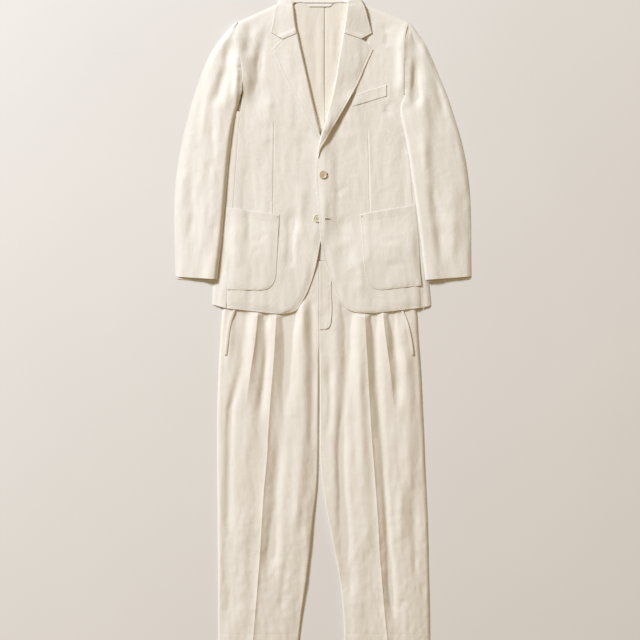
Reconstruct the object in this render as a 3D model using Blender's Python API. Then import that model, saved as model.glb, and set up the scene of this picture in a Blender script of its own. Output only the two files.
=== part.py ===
"""Linen suit laid flat: a single-breasted jacket over its pleated trousers, as seen from straight above.

Metres, +Z up, the floor at z = 0 and +Y towards the collar. Left and right are the wearer's own, so left
is on +X. Every piece of cloth is a closed wall. Its outline comes from a short table of sections, and its
height from the pieces that it lies on, which are kept as a map of heights over the floor.
"""

import bpy
import numpy as np

# Cloth
WALL = 0.0018
THIN_WALL = 0.0012
SEAM_GAP = 0.0003
RIM = 0.0019
RIM_STEP = 0.0003
EDGE_INSET = 0.0036
ARMPIT_INSET = 0.0056
RIM_HEIGHTS = (0.55, 0.88)

# Map of heights
CELL = 0.002
MAP_LOW = np.array((-0.42, -0.86))
MAP_SHAPE = (420, 860)
SAMPLE_STEP = 0.0015

# Jacket
CENTRE_SEAM_X = 0.005
BACK_ROWS = 15
BODY_ROWS = (7, 18)
BODY_COLUMNS = 10
SLEEVE_ROWS = 16
LAPEL_ROWS = 15
POCKET_ROWS = 10
CUFF_STEP = 0.0045
BODY_PUFF = 0.0016
SLEEVE_PUFF = 0.0022
LAPEL_PUFF = 0.0012
POCKET_PUFF = 0.0005

# Trousers
CENTRE_FRONT_X = -0.0098
CROTCH_Y = -0.124
WAIST_SEAM_Y = 0.1487
WAISTBAND_TOP = 0.1875
TROUSER_ROWS = 25
LEG_PUFF = 0.0014
CREASE_RISE = 0.0019
CREASE_HALF = 0.010
PLEAT_RISE = 0.0012
PLEAT_END_Y = -0.30
FLY_WIDTH = 0.030
FLY_LOW_Y = -0.0230
FLY_CORNER = 0.012
FLY_ROWS = 12
POCKET_MOUTH_WIDTH = 0.007

# Buttons
BUTTON_RADIUS = 0.0101
BUTTON_HEIGHT = 0.003
BUTTON_SIDES = 20
UPPER_BUTTON = (0.0005, 0.3642)
LOWER_BUTTON = (-0.0142, 0.2555)

# Sections of one half of the body from shoulder to armpit: front edge x, y and armhole seam x, y.
CHEST_SECTIONS = {
    "left": (
        (0.0720, 0.8040, 0.2150, 0.7460),
        (0.0635, 0.7810, 0.2070, 0.7160),
        (0.0585, 0.7390, 0.2050, 0.6710),
        (0.0485, 0.6840, 0.2040, 0.6210),
        (0.0370, 0.6140, 0.2040, 0.5640),
    ),
    "right": (
        (-0.0900, 0.8040, -0.2140, 0.7475),
        (-0.0770, 0.7810, -0.2200, 0.7190),
        (-0.0725, 0.7390, -0.2125, 0.6810),
        (-0.0600, 0.6840, -0.2040, 0.6310),
        (-0.0445, 0.6140, -0.2015, 0.5760),
    ),
}

# Sections from armpit to hem: front edge x, y, side seam x, y and side fold x, y.
SKIRT_SECTIONS = {
    "left": (
        (0.0245, 0.5510, 0.2090, 0.5140, 0.2425, 0.5360),
        (0.0090, 0.4910, 0.2120, 0.4640, 0.2475, 0.4690),
        (-0.0095, 0.4310, 0.2150, 0.4090, 0.2490, 0.4090),
        (-0.0185, 0.3765, 0.2200, 0.3560, 0.2500, 0.3560),
        (-0.0160, 0.3140, 0.2250, 0.3010, 0.2525, 0.3010),
        (-0.0100, 0.2515, 0.2300, 0.2460, 0.2550, 0.2460),
        (-0.0055, 0.1960, 0.2350, 0.1940, 0.2590, 0.1940),
        (0.0050, 0.1460, 0.2390, 0.1460, 0.2620, 0.1460),
        (0.0240, 0.0910, 0.2425, 0.0960, 0.2660, 0.0940),
        (0.0450, 0.0460, 0.2445, 0.0610, 0.2690, 0.0610),
        (0.0700, 0.0240, 0.2455, 0.0440, 0.2705, 0.0460),
        (0.1075, 0.0160, 0.2460, 0.0315, 0.2710, 0.0375),
    ),
    "right": (
        (-0.0300, 0.5510, -0.2065, 0.5210, -0.2425, 0.5360),
        (-0.0170, 0.4910, -0.2125, 0.4690, -0.2475, 0.4690),
        (-0.0045, 0.4360, -0.2160, 0.4140, -0.2515, 0.4140),
        (0.0150, 0.3765, -0.2200, 0.3560, -0.2550, 0.3560),
        (0.0190, 0.3140, -0.2240, 0.3010, -0.2590, 0.3010),
        (0.0100, 0.2515, -0.2275, 0.2460, -0.2625, 0.2460),
        (-0.0065, 0.1940, -0.2325, 0.1940, -0.2670, 0.1940),
        (-0.0155, 0.1460, -0.2350, 0.1460, -0.2700, 0.1460),
        (-0.0310, 0.0910, -0.2390, 0.0960, -0.2750, 0.0940),
        (-0.0490, 0.0515, -0.2410, 0.0610, -0.2765, 0.0610),
        (-0.0675, 0.0250, -0.2415, 0.0440, -0.2770, 0.0475),
        (-0.1000, 0.0140, -0.2425, 0.0305, -0.2775, 0.0400),
    ),
}

# Sections of one half of the back: centre y, neck point x, y and outer edge x, y, for the left half.
BACK_SECTIONS = (
    (0.7950, 0.0610, 0.7950, 0.2100, 0.7420),
    (0.7200, 0.0610, 0.7200, 0.1990, 0.7000),
    (0.6200, 0.0640, 0.6200, 0.1980, 0.6100),
    (0.5650, 0.0680, 0.5650, 0.1980, 0.5620),
    (0.5200, 0.0750, 0.5200, 0.2360, 0.5200),
    (0.4300, 0.0800, 0.4300, 0.2430, 0.4300),
    (0.3000, 0.0800, 0.3000, 0.2470, 0.3000),
    (0.1900, 0.0800, 0.1900, 0.2540, 0.1900),
    (0.0900, 0.0800, 0.0900, 0.2610, 0.0940),
    (0.0360, 0.0800, 0.0360, 0.2660, 0.0425),
)

# Outer edge of the sleeve beside the armhole: x, y, at even steps from the shoulder to the armpit.
SLEEVE_HEADS = {
    "left": ((0.2225, 0.7390), (0.2515, 0.6990), (0.2725, 0.6560), (0.2925, 0.6075), (0.3105, 0.5640)),
    "right": ((-0.2200, 0.7450), (-0.2525, 0.7110), (-0.2790, 0.6740), (-0.3000, 0.6290), (-0.3190, 0.5740)),
}

# Sections of the sleeve from armpit to cuff: inner edge x, y and outer edge x, y.
SLEEVE_SECTIONS = {
    "left": (
        (0.2040, 0.5640, 0.3105, 0.5640),
        (0.1950, 0.5410, 0.3200, 0.5360),
        (0.1940, 0.5190, 0.3290, 0.5075),
        (0.2025, 0.4740, 0.3410, 0.4690),
        (0.2145, 0.4110, 0.3555, 0.4090),
        (0.2260, 0.3360, 0.3660, 0.3340),
        (0.2370, 0.2590, 0.3700, 0.2560),
        (0.2465, 0.1810, 0.3705, 0.1810),
        (0.2560, 0.1010, 0.3715, 0.1100),
    ),
    "right": (
        (-0.2015, 0.5760, -0.3190, 0.5740),
        (-0.2090, 0.5490, -0.3310, 0.5360),
        (-0.2175, 0.5210, -0.3390, 0.5040),
        (-0.2260, 0.4760, -0.3490, 0.4660),
        (-0.2340, 0.4140, -0.3600, 0.4090),
        (-0.2410, 0.3390, -0.3700, 0.3340),
        (-0.2480, 0.2560, -0.3725, 0.2540),
        (-0.2555, 0.1760, -0.3710, 0.1760),
        (-0.2650, 0.1025, -0.3690, 0.1095),
    ),
}

# Sections of the lapel: roll line x, y, middle x, y and outer edge x, y.
LAPEL_SECTIONS = {
    "left": (
        (0.0500, 0.7150, 0.0963, 0.6987, 0.1250, 0.6775),
        (0.0450, 0.6913, 0.0825, 0.6763, 0.1212, 0.6688),
        (0.0387, 0.6562, 0.0750, 0.6462, 0.1087, 0.6412),
        (0.0300, 0.6013, 0.0575, 0.5963, 0.0875, 0.5925),
        (0.0213, 0.5587, 0.0450, 0.5563, 0.0675, 0.5550),
        (0.0100, 0.5162, 0.0275, 0.5162, 0.0450, 0.5150),
        (0.0000, 0.4813, 0.0125, 0.4813, 0.0238, 0.4788),
        (-0.0075, 0.4562, 0.0015, 0.4537, 0.0095, 0.4525),
        (-0.0138, 0.4288, -0.0090, 0.4288, -0.0045, 0.4280),
    ),
    "right": (
        (-0.0633, 0.7137, -0.1000, 0.6987, -0.1285, 0.6775),
        (-0.0575, 0.6913, -0.0900, 0.6763, -0.1225, 0.6663),
        (-0.0500, 0.6588, -0.0800, 0.6462, -0.1087, 0.6375),
        (-0.0387, 0.6088, -0.0650, 0.5988, -0.0875, 0.5913),
        (-0.0288, 0.5637, -0.0475, 0.5563, -0.0650, 0.5500),
        (-0.0192, 0.5212, -0.0300, 0.5138, -0.0425, 0.5088),
        (-0.0125, 0.4913, -0.0200, 0.4863, -0.0272, 0.4800),
        (-0.0072, 0.4713, -0.0130, 0.4662, -0.0185, 0.4617),
    ),
}

# Sections of the collar from the left leaf's point round the neck to the right leaf's:
# inner edge x, y, middle x, y and outer edge x, y.
COLLAR_SECTIONS = (
    (0.0500, 0.7183, 0.0963, 0.7033, 0.1225, 0.7188),
    (0.0550, 0.7512, 0.0850, 0.7488, 0.1133, 0.7512),
    (0.0585, 0.7790, 0.0825, 0.7812, 0.1050, 0.7812),
    (0.0590, 0.7920, 0.0780, 0.7990, 0.0955, 0.8050),
    (0.0540, 0.7955, 0.0640, 0.8090, 0.0740, 0.8220),
    (0.0350, 0.7955, 0.0370, 0.8110, 0.0390, 0.8270),
    (0.0020, 0.7955, 0.0020, 0.8115, 0.0020, 0.8280),
    (-0.0420, 0.7955, -0.0430, 0.8110, -0.0440, 0.8270),
    (-0.0640, 0.7955, -0.0730, 0.8090, -0.0830, 0.8220),
    (-0.0735, 0.7920, -0.0910, 0.7990, -0.1080, 0.8050),
    (-0.0725, 0.7790, -0.0950, 0.7812, -0.1183, 0.7812),
    (-0.0695, 0.7512, -0.0975, 0.7488, -0.1242, 0.7512),
    (-0.0642, 0.7183, -0.1000, 0.7028, -0.1308, 0.7213),
)
COLLAR_ROWS = 27
LEAF_ROWS = 7

# Sections of the hip pockets from mouth to lower edge: front edge x, y and outer edge x, y.
POCKET_SECTIONS = {
    "left": (
        (0.0915, 0.2660, 0.2300, 0.2900),
        (0.0975, 0.2060, 0.2375, 0.2210),
        (0.1015, 0.1460, 0.2415, 0.1560),
        (0.1085, 0.1060, 0.2435, 0.1160),
        (0.1200, 0.0875, 0.2450, 0.0990),
        (0.1400, 0.0760, 0.2465, 0.0875),
    ),
    "right": (
        (-0.1090, 0.2650, -0.2425, 0.2840),
        (-0.1125, 0.2010, -0.2435, 0.2090),
        (-0.1155, 0.1460, -0.2425, 0.1460),
        (-0.1190, 0.1060, -0.2415, 0.1120),
        (-0.1280, 0.0880, -0.2405, 0.0930),
        (-0.1450, 0.0750, -0.2400, 0.0770),
    ),
}
WELT_SECTIONS = ((0.0725, 0.5625, 0.1590, 0.5905), (0.0725, 0.5350, 0.1590, 0.5613))
NECK_TAB_SECTIONS = ((-0.0425, 0.7935, 0.0262, 0.7935), (-0.0350, 0.7853, 0.0163, 0.7853))

# Sections of one leg: y, side edge x, outer pleat x, crease x and inner edge x.
LEG_SECTIONS = {
    "left": (
        (0.1484, 0.2100, 0.1425, 0.0975, -0.0097),
        (0.0887, 0.2225, 0.1462, 0.1013, -0.0097),
        (0.0213, 0.2350, 0.1500, 0.1045, -0.0097),
        (-0.0488, 0.2395, 0.1575, 0.1080, -0.0097),
        (-0.1237, 0.2450, 0.1680, 0.1125, -0.0090),
        (-0.1988, 0.2487, 0.1760, 0.1163, -0.0080),
        (-0.2737, 0.2525, 0.1820, 0.1208, -0.0080),
        (-0.3488, 0.2550, 0.1870, 0.1263, -0.0075),
        (-0.4238, 0.2587, 0.1920, 0.1320, 0.0000),
        (-0.4988, 0.2620, 0.1960, 0.1375, 0.0125),
        (-0.5737, 0.2640, 0.2000, 0.1413, 0.0270),
        (-0.6488, 0.2655, 0.2040, 0.1470, 0.0415),
        (-0.7238, 0.2675, 0.2080, 0.1533, 0.0495),
        (-0.8280, 0.2683, 0.2130, 0.1638, 0.0550),
    ),
    "right": (
        (0.1484, -0.2175, -0.1525, -0.1050, -0.0100),
        (0.0887, -0.2338, -0.1575, -0.1113, -0.0100),
        (0.0213, -0.2520, -0.1625, -0.1163, -0.0100),
        (-0.0488, -0.2575, -0.1688, -0.1200, -0.0100),
        (-0.1237, -0.2617, -0.1800, -0.1250, -0.0106),
        (-0.1988, -0.2645, -0.1900, -0.1313, -0.0112),
        (-0.2737, -0.2655, -0.1970, -0.1363, -0.0117),
        (-0.3488, -0.2655, -0.2020, -0.1405, -0.0125),
        (-0.4238, -0.2650, -0.2050, -0.1475, -0.0160),
        (-0.4988, -0.2642, -0.2075, -0.1525, -0.0250),
        (-0.5737, -0.2637, -0.2100, -0.1567, -0.0320),
        (-0.6488, -0.2635, -0.2125, -0.1625, -0.0408),
        (-0.7238, -0.2635, -0.2150, -0.1685, -0.0517),
        (-0.8280, -0.2630, -0.2190, -0.1775, -0.0638),
    ),
}

# Edge of the slanted side pocket on the trousers: x, y from under the jacket to its lower end.
POCKET_MOUTHS = {
    "left": ((0.1850, 0.0887), (0.2025, 0.0213), (0.2120, -0.0037), (0.2180, -0.0262), (0.2242, -0.0612),
             (0.2275, -0.0863)),
    "right": ((-0.2075, 0.0887), (-0.2263, 0.0238), (-0.2350, -0.0037), (-0.2395, -0.0262),
              (-0.2437, -0.0612), (-0.2475, -0.0863)),
}

# Largest soft folds: x, y at the top, the middle and the lower end, half width and rise.
BODY_FOLDS = {
    "left": (
        (0.070, 0.40, 0.062, 0.30, 0.068, 0.18, 0.016, 0.0011),
        (0.180, 0.50, 0.186, 0.40, 0.188, 0.31, 0.014, 0.0010),
        (0.125, 0.21, 0.150, 0.16, 0.160, 0.11, 0.016, 0.0008),
    ),
    "right": (
        (-0.176, 0.74, -0.172, 0.69, -0.178, 0.63, 0.010, 0.0014),
        (-0.130, 0.66, -0.150, 0.56, -0.165, 0.46, 0.014, 0.0010),
        (-0.060, 0.34, -0.066, 0.26, -0.074, 0.18, 0.014, 0.0012),
        (-0.205, 0.42, -0.200, 0.30, -0.196, 0.16, 0.014, 0.0010),
    ),
}
SLEEVE_FOLDS = {
    "left": (
        (0.228, 0.69, 0.232, 0.62, 0.236, 0.55, 0.011, 0.0014),
        (0.290, 0.60, 0.302, 0.50, 0.314, 0.42, 0.014, 0.0012),
        (0.300, 0.34, 0.318, 0.24, 0.322, 0.16, 0.014, 0.0012),
    ),
    "right": (
        (-0.236, 0.68, -0.230, 0.60, -0.226, 0.54, 0.011, 0.0014),
        (-0.300, 0.60, -0.310, 0.50, -0.318, 0.42, 0.015, 0.0012),
        (-0.300, 0.40, -0.322, 0.30, -0.330, 0.16, 0.014, 0.0012),
    ),
}
LEG_FOLDS = {
    "left": (
        (0.070, 0.03, 0.072, -0.10, 0.066, -0.28, 0.013, 0.0010),
        (0.205, -0.16, 0.212, -0.30, 0.216, -0.42, 0.014, 0.0010),
        (0.094, -0.34, 0.094, -0.50, 0.098, -0.66, 0.013, 0.0008),
    ),
    "right": (
        (-0.068, 0.03, -0.072, -0.10, -0.078, -0.28, 0.013, 0.0010),
        (-0.226, -0.10, -0.222, -0.24, -0.222, -0.38, 0.013, 0.0010),
        (-0.110, -0.40, -0.108, -0.52, -0.106, -0.66, 0.013, 0.0008),
    ),
}

# Colour and roughness of each material.
FINISHES = {
    "linen": ((0.80, 0.735, 0.62), 0.9),
    "horn": ((0.60, 0.47, 0.30), 0.4),
}


def clear_scene():
    """Removes every object that the scene starts with."""
    for thing in list(bpy.data.objects):
        bpy.data.objects.remove(thing)


def material(name):
    """A Principled material in one of the finishes."""
    found = bpy.data.materials.get(name)
    if found:
        return found
    colour, roughness = FINISHES[name]
    made = bpy.data.materials.new(name)
    made.use_nodes = True
    shader = made.node_tree.nodes["Principled BSDF"]
    shader.inputs["Base Color"].default_value = (*colour, 1.0)
    shader.inputs["Roughness"].default_value = roughness
    made.diffuse_color = (*colour, 1.0)
    return made


def curve_through(knots, values, places):
    """A smooth cubic through the values at the knots, read at the places."""
    slopes = np.gradient(values, knots, axis=0)
    span = np.clip(np.searchsorted(knots, places, side="right") - 1, 0, len(knots) - 2)
    length = knots[span + 1] - knots[span]
    t = ((places - knots[span]) / length)[:, None]
    length = length[:, None]
    square, cube = t * t, t * t * t
    return (
        (2 * cube - 3 * square + 1) * values[span]
        + (cube - 2 * square + t) * length * slopes[span]
        + (3 * square - 2 * cube) * values[span + 1]
        + (cube - square) * length * slopes[span + 1]
    )


def sections(table, count):
    """The table's rows made into `count` evenly spaced rows of points, as an array of row, point, x and y."""
    rows = np.array(table, float)
    middle = rows.reshape(len(rows), -1, 2).mean(axis=1)
    knots = np.concatenate([[0], np.cumsum(np.linalg.norm(np.diff(middle, axis=0), axis=1))])
    places = np.linspace(0, knots[-1], count)
    return curve_through(knots, rows, places).reshape(count, -1, 2)


def leg_sections(side, count=TROUSER_ROWS):
    """Rows of the leg: side edge, outer pleat, crease and inner edge, each as x and y."""
    rows = np.array(LEG_SECTIONS[side])
    places = np.linspace(rows[0, 0], rows[-1, 0], count)
    x = curve_through(-rows[:, 0], rows[:, 1:], -places)
    return np.stack([x, np.repeat(places[:, None], x.shape[1], axis=1)], axis=2)


def with_end_rows(rows):
    """The rows with two more beside the first one, which the wall's folded end needs."""
    along = rows[1] - rows[0]
    along = along / np.linalg.norm(along, axis=1, keepdims=True)
    near = [rows[0] + along * step for step in (RIM, RIM + RIM_STEP)]
    return np.concatenate([rows[:1], near, rows[1:]])


def grid_between(rows, columns, rim_first=False, rim_last=False):
    """Points across each row, `columns` cells between neighbouring section points.

    A folded edge has two more columns beside it: one at the rim's width, and one a step further in.
    """
    first, last = rows[:, 0], rows[:, -1]
    inwards = rows[:, 1] - first
    inwards = inwards / np.linalg.norm(inwards, axis=1, keepdims=True)
    back = rows[:, -2] - last
    back = back / np.linalg.norm(back, axis=1, keepdims=True)
    points = rows.copy()
    start, end = [], []
    if rim_first:
        start = [first, first + inwards * RIM]
        points[:, 0] = first + inwards * (RIM + RIM_STEP)
    if rim_last:
        end = [last + back * RIM, last]
        points[:, -1] = last + back * (RIM + RIM_STEP)
    inner = []
    for span, cells in enumerate(columns):
        for cell in range(cells):
            inner.append(points[:, span] + (points[:, span + 1] - points[:, span]) * cell / cells)
    inner.append(points[:, -1])
    return np.stack(start + inner + end, axis=1)


def triangle_samples(grid, step=SAMPLE_STEP):
    """The grid read finely over its triangles, each cell split along its first to last corner.

    Returns an array of row, column, sample, sample and the grid's own values.
    """
    cell_rows = np.abs(np.diff(grid[..., :2], axis=0)).sum(axis=2).max()
    cell_columns = np.abs(np.diff(grid[..., :2], axis=1)).sum(axis=2).max()
    b = np.linspace(0, 1, int(cell_rows / step) + 2)[None, None, :, None, None]
    a = np.linspace(0, 1, int(cell_columns / step) + 2)[None, None, None, :, None]
    low, right = grid[:-1, :-1, None, None], grid[:-1, 1:, None, None]
    up, far = grid[1:, :-1, None, None], grid[1:, 1:, None, None]
    lower = low + a * (right - low) + b * (far - right)
    upper = low + b * (up - low) + a * (far - up)
    return np.where(a >= b, lower, upper)


def map_index(points):
    index = np.floor((points[..., :2] - MAP_LOW) / CELL).astype(int)
    return np.clip(index[..., 0], 0, MAP_SHAPE[0] - 1), np.clip(index[..., 1], 0, MAP_SHAPE[1] - 1)


def pressed(heights, tops):
    """A copy of the map, raised to the top surfaces given."""
    raised = heights.copy()
    for top in tops:
        samples = triangle_samples(top)
        ix, iy = map_index(samples)
        np.maximum.at(raised, (ix.ravel(), iy.ravel()), samples[..., 2].ravel())
    return raised


def widened(heights):
    """Each cell takes the highest of itself and its neighbours."""
    tall = heights.copy()
    tall[1:] = np.maximum(tall[1:], heights[:-1])
    tall[:-1] = np.maximum(tall[:-1], heights[1:])
    wide = tall.copy()
    wide[:, 1:] = np.maximum(wide[:, 1:], tall[:, :-1])
    wide[:, :-1] = np.maximum(wide[:, :-1], tall[:, 1:])
    return wide


def resting_heights(heights, grid):
    """Height of each grid point so that the triangles round it clear everything on the map."""
    ix, iy = map_index(triangle_samples(grid))
    cells = widened(heights)[ix, iy].max(axis=(2, 3))
    padded = np.pad(cells, 1)
    corners = np.stack([padded[:-1, :-1], padded[:-1, 1:], padded[1:, :-1], padded[1:, 1:]])
    highest = corners.max(axis=0)
    return np.where(highest > 0, highest + SEAM_GAP, 0.0)


def fold_rise(grid, folds):
    """Sum of soft ridges: each has a bell-shaped section round its path, and tapers at its ends."""
    x, y = grid[..., 0], grid[..., 1]
    rise = np.zeros(x.shape)
    for x_top, y_top, x_mid, y_mid, x_low, y_low, half_width, height in folds:
        path = np.interp(-y, (-y_top, -y_mid, -y_low), (x_top, x_mid, x_low))
        along = np.clip((y_top - y) / (y_top - y_low), 0, 1)
        rise += height * np.exp(-((x - path) / half_width) ** 2) * np.sin(np.pi * along)
    return rise


def puff(shape, height):
    """A low crown over the whole grid, nought at its edges."""
    v = np.sin(np.pi * np.linspace(0, 1, shape[0])) ** 0.5
    u = np.sin(np.pi * np.linspace(0, 1, shape[1])) ** 0.5
    return height * v[:, None] * u[None, :]


def wall(grid, heights, lift=0.0, thickness=WALL, ground=None, rims=None):
    """The wall's underside and top over a grid of points, as arrays of x, y and z.

    rims maps an edge, "first", "last" or "start", to the rows where that edge is folded down to the
    ground map. There the outer point stands on the ground, and the wall's top falls to it in two steps.
    """
    under = resting_heights(heights, grid) + lift
    top = under + thickness
    if rims:
        foot = resting_heights(ground, grid)
        for edge, rows in rims.items():
            if edge == "start":
                fold_down(under, top, foot, (0, 1, 2), slice(None))
            else:
                places = (0, 1, 2) if edge == "first" else (-1, -2, -3)
                fold_down(under.T, top.T, foot.T, places, rows)
    return (
        np.concatenate([grid, under[..., None]], axis=2),
        np.concatenate([grid, top[..., None]], axis=2),
    )


def fold_down(under, top, foot, places, along):
    """Lowers the outermost two lines of points to the foot; the third one keeps the wall's full height."""
    full = top[places[2], along]
    for place, share in zip(places[:2], RIM_HEIGHTS):
        ground = foot[place, along]
        top[place, along] = np.minimum(ground + share * (full - ground), top[place, along])
        under[place, along] = np.minimum(ground, top[place, along] - SEAM_GAP)


def closed_mesh(name, under, top):
    """A mesh from the wall's two faces and the strip round its edge, each cell split the same way."""
    rows, columns = top.shape[:2]
    points = np.concatenate([top.reshape(-1, 3), under.reshape(-1, 3)])
    index = np.arange(rows * columns).reshape(rows, columns)
    low, right, up, far = index[:-1, :-1], index[:-1, 1:], index[1:, :-1], index[1:, 1:]
    cells = np.concatenate([
        np.stack([low, right, far], axis=-1).reshape(-1, 3),
        np.stack([low, far, up], axis=-1).reshape(-1, 3),
    ])
    ring = np.concatenate([index[0, :-1], index[:-1, -1], index[-1, :0:-1], index[:0:-1, 0]])
    following = np.roll(ring, -1)
    below = rows * columns
    strip = np.concatenate([
        np.stack([following, ring, ring + below], axis=-1),
        np.stack([following, ring + below, following + below], axis=-1),
    ])
    faces = np.concatenate([cells, cells[:, ::-1] + below, strip])
    across = top[0, -1, :2] - top[0, 0, :2]
    along = top[-1].mean(axis=0)[:2] - top[0].mean(axis=0)[:2]
    if across[0] * along[1] - across[1] * along[0] < 0:
        faces = faces[:, ::-1]
    mesh = bpy.data.meshes.new(name)
    mesh.from_pydata(points.tolist(), [], faces.tolist())
    mesh.update()
    return mesh


def add_piece(name, mesh, finish="linen"):
    """Puts the mesh into the scene as one named sub-part."""
    mesh.materials.append(material(finish))
    mesh.shade_smooth()
    mesh.set_sharp_from_angle(angle=np.radians(40))
    piece = bpy.data.objects.new(name, mesh)
    bpy.context.scene.collection.objects.link(piece)
    return piece


def add_wall(name, faces):
    """A piece of cloth from its underside and top; returns the top for what lies on it."""
    under, top = faces
    add_piece(name, closed_mesh(name, under, top))
    return top


def mirrored(table, side, columns):
    """The table for one side: x changes sign for the right one, in the columns given."""
    rows = np.array(table, float)
    if side == "right":
        rows[:, list(columns)] *= -1
    return rows


def jacket_back(side, floor):
    """Half of the back, flat on the floor, from the neck seam to just inside the hem."""
    sign = 1 if side == "left" else -1
    rows = mirrored(BACK_SECTIONS, side, (1, 3))
    centre = np.full((len(rows), 1), CENTRE_SEAM_X + sign * SEAM_GAP / 2)
    rows = sections(np.hstack([centre, rows]), BACK_ROWS)
    grid = grid_between(rows, (2, 4))
    return add_wall(f"jacket_back_{side}", wall(grid, floor))


def body_rows(side):
    """Rows of half the body: front edge and seam above the armpit, and with the side fold below it."""
    chest = np.array(CHEST_SECTIONS[side])
    skirt = np.array(SKIRT_SECTIONS[side])
    above = sections(np.vstack([chest, skirt[:1, :4]]), BODY_ROWS[0] + 1)[:-1]
    below = sections(skirt, BODY_ROWS[1])
    return above, below


def jacket_front(side, heights, floor):
    """Front panel from the shoulder to the hem, with the shoulder folded down to the floor."""
    above, below = body_rows(side)
    rows = np.concatenate([above, below[:, :2]])
    grid = grid_between(with_end_rows(rows), (BODY_COLUMNS,))
    lift = puff(grid.shape, BODY_PUFF) + fold_rise(grid, BODY_FOLDS[side])
    return add_wall(f"jacket_front_{side}", wall(grid, heights, lift, ground=floor, rims={"start": None}))


def jacket_side(side, heights, floor):
    """Side body from the seam of the front to the fold, where it turns down to the floor."""
    rows = body_rows(side)[1][:, 1:].copy()
    sign = 1 if side == "left" else -1
    rows[:, 0, 0] += sign * SEAM_GAP
    grid = grid_between(rows, (2,), rim_last=True)
    return add_wall(f"jacket_side_{side}", wall(grid, heights, ground=floor, rims={"last": slice(None)}))


def sleeve_rows(side):
    """Rows of the sleeve: inner and outer edge. Beside the armhole they start on the front's own points."""
    sign = 1 if side == "left" else -1
    seam = body_rows(side)[0][:, 1].copy()
    seam[:, 0] += sign * SEAM_GAP
    head = np.array(SLEEVE_HEADS[side])
    places = np.linspace(0, 1, len(seam) + 1)[:-1]
    outer = curve_through(np.linspace(0, 1, len(head)), head, places)
    upper = np.stack([seam, outer], axis=1)
    lower = sections(SLEEVE_SECTIONS[side], SLEEVE_ROWS)
    lower[0, 0, 0] += sign * SEAM_GAP
    return np.concatenate([upper, lower]), len(seam) + 1


def inset_ends(rows, first, last):
    """The rows with their first and last points moved inwards."""
    moved = rows.copy()
    across = rows[:, -1] - rows[:, 0]
    across = across / np.linalg.norm(across, axis=1, keepdims=True)
    moved[:, 0] += across * first
    moved[:, -1] -= across * last
    return moved


def sleeve_under(side, heights):
    """Under sleeve, inside the upper one's folded edges and a little longer at the cuff."""
    rows, _ = sleeve_rows(side)
    rows = inset_ends(rows, ARMPIT_INSET, EDGE_INSET)
    end = rows[-1] - rows[-2]
    rows[-1] += end / np.linalg.norm(end, axis=1, keepdims=True) * CUFF_STEP
    rows = rows[1:]
    grid = grid_between(rows, (4,))
    return add_wall(f"sleeve_under_{side}", wall(grid, heights))


def sleeve_upper(side, heights, ground):
    """Upper sleeve, with its outer edge and, below the armhole, its inner edge folded down."""
    rows, armhole_rows = sleeve_rows(side)
    grid = grid_between(rows, (8,), rim_first=True, rim_last=True)
    lift = puff(grid.shape, SLEEVE_PUFF) + fold_rise(grid, SLEEVE_FOLDS[side])
    rims = {"first": slice(armhole_rows, None), "last": slice(1, None)}
    return add_wall(f"sleeve_upper_{side}", wall(grid, heights, lift, ground=ground, rims=rims))


def lapel(side, heights, ground):
    """Lapel turned back over the front, its roll folded down round the front's edge."""
    rows = sections(LAPEL_SECTIONS[side], LAPEL_ROWS)
    grid = grid_between(rows, (3, 3), rim_first=True)
    lift = puff(grid.shape, LAPEL_PUFF)
    return add_wall(f"lapel_{side}", wall(grid, heights, lift, ground=ground, rims={"first": slice(None)}))


def collar(heights, ground):
    """Collar round the neck, over both shoulders: a roll inside the leaves, a fold behind the neck."""
    rows = sections(COLLAR_SECTIONS, COLLAR_ROWS)
    grid = grid_between(rows, (2, 2), rim_first=True, rim_last=True)
    ends = np.r_[0:LEAF_ROWS, COLLAR_ROWS - LEAF_ROWS:COLLAR_ROWS]
    rims = {"first": ends, "last": slice(LEAF_ROWS, COLLAR_ROWS - LEAF_ROWS)}
    return add_wall("collar", wall(grid, heights, ground=ground, rims=rims))


def trouser_back(side, heights):
    """Back of one leg, flat, from the waist to the hem, inside the front's folded edges."""
    rows = leg_sections(side)[:, (0, 3)]
    y = rows[:, 1, 1]
    seat = y > CROTCH_Y + (y[0] - y[1])
    inset = np.where(seat, 0.0, EDGE_INSET)[:, None]
    grid = grid_between(inset_ends(rows, EDGE_INSET, inset), (4,))
    return add_wall(f"trouser_back_{side}", wall(grid, heights))


def pleat_rise(grid, rows):
    """Rise along the crease, sharp on its line, and along the outer pleat, fading down the thigh."""
    x, y = grid[..., 0], grid[..., 1]
    crease, pleat = rows[:, 2, 0][:, None], rows[:, 1, 0][:, None]
    rise = CREASE_RISE * np.exp(-np.abs(x - crease) / CREASE_HALF)
    fade = np.clip((y - PLEAT_END_Y) / -PLEAT_END_Y, 0, 1)
    return rise + PLEAT_RISE * fade * np.exp(-np.abs(x - pleat) / CREASE_HALF)


def trouser_front(side, heights, ground):
    """Front of one leg, creased, its side edge and, below the crotch, its inner edge folded down."""
    rows = leg_sections(side)
    grid = grid_between(rows, (3, 3, 4), rim_first=True, rim_last=True)
    lift = puff(grid.shape, LEG_PUFF) + pleat_rise(grid, rows) + fold_rise(grid, LEG_FOLDS[side])
    leg = np.where(rows[:, 3, 1] < CROTCH_Y)[0]
    rims = {"first": slice(None), "last": leg}
    return add_wall(f"trouser_front_{side}", wall(grid, heights, lift, ground=ground, rims=rims))


def waistband(name, x_from, x_to, heights, lift=0.0):
    """A straight band above the waist seam."""
    low, high = WAIST_SEAM_Y + SEAM_GAP, WAISTBAND_TOP
    rows = sections(((x_from, high, x_to, high), (x_from, low, x_to, low)), 3)
    return add_wall(name, wall(grid_between(rows, (6,)), heights, lift))


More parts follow.
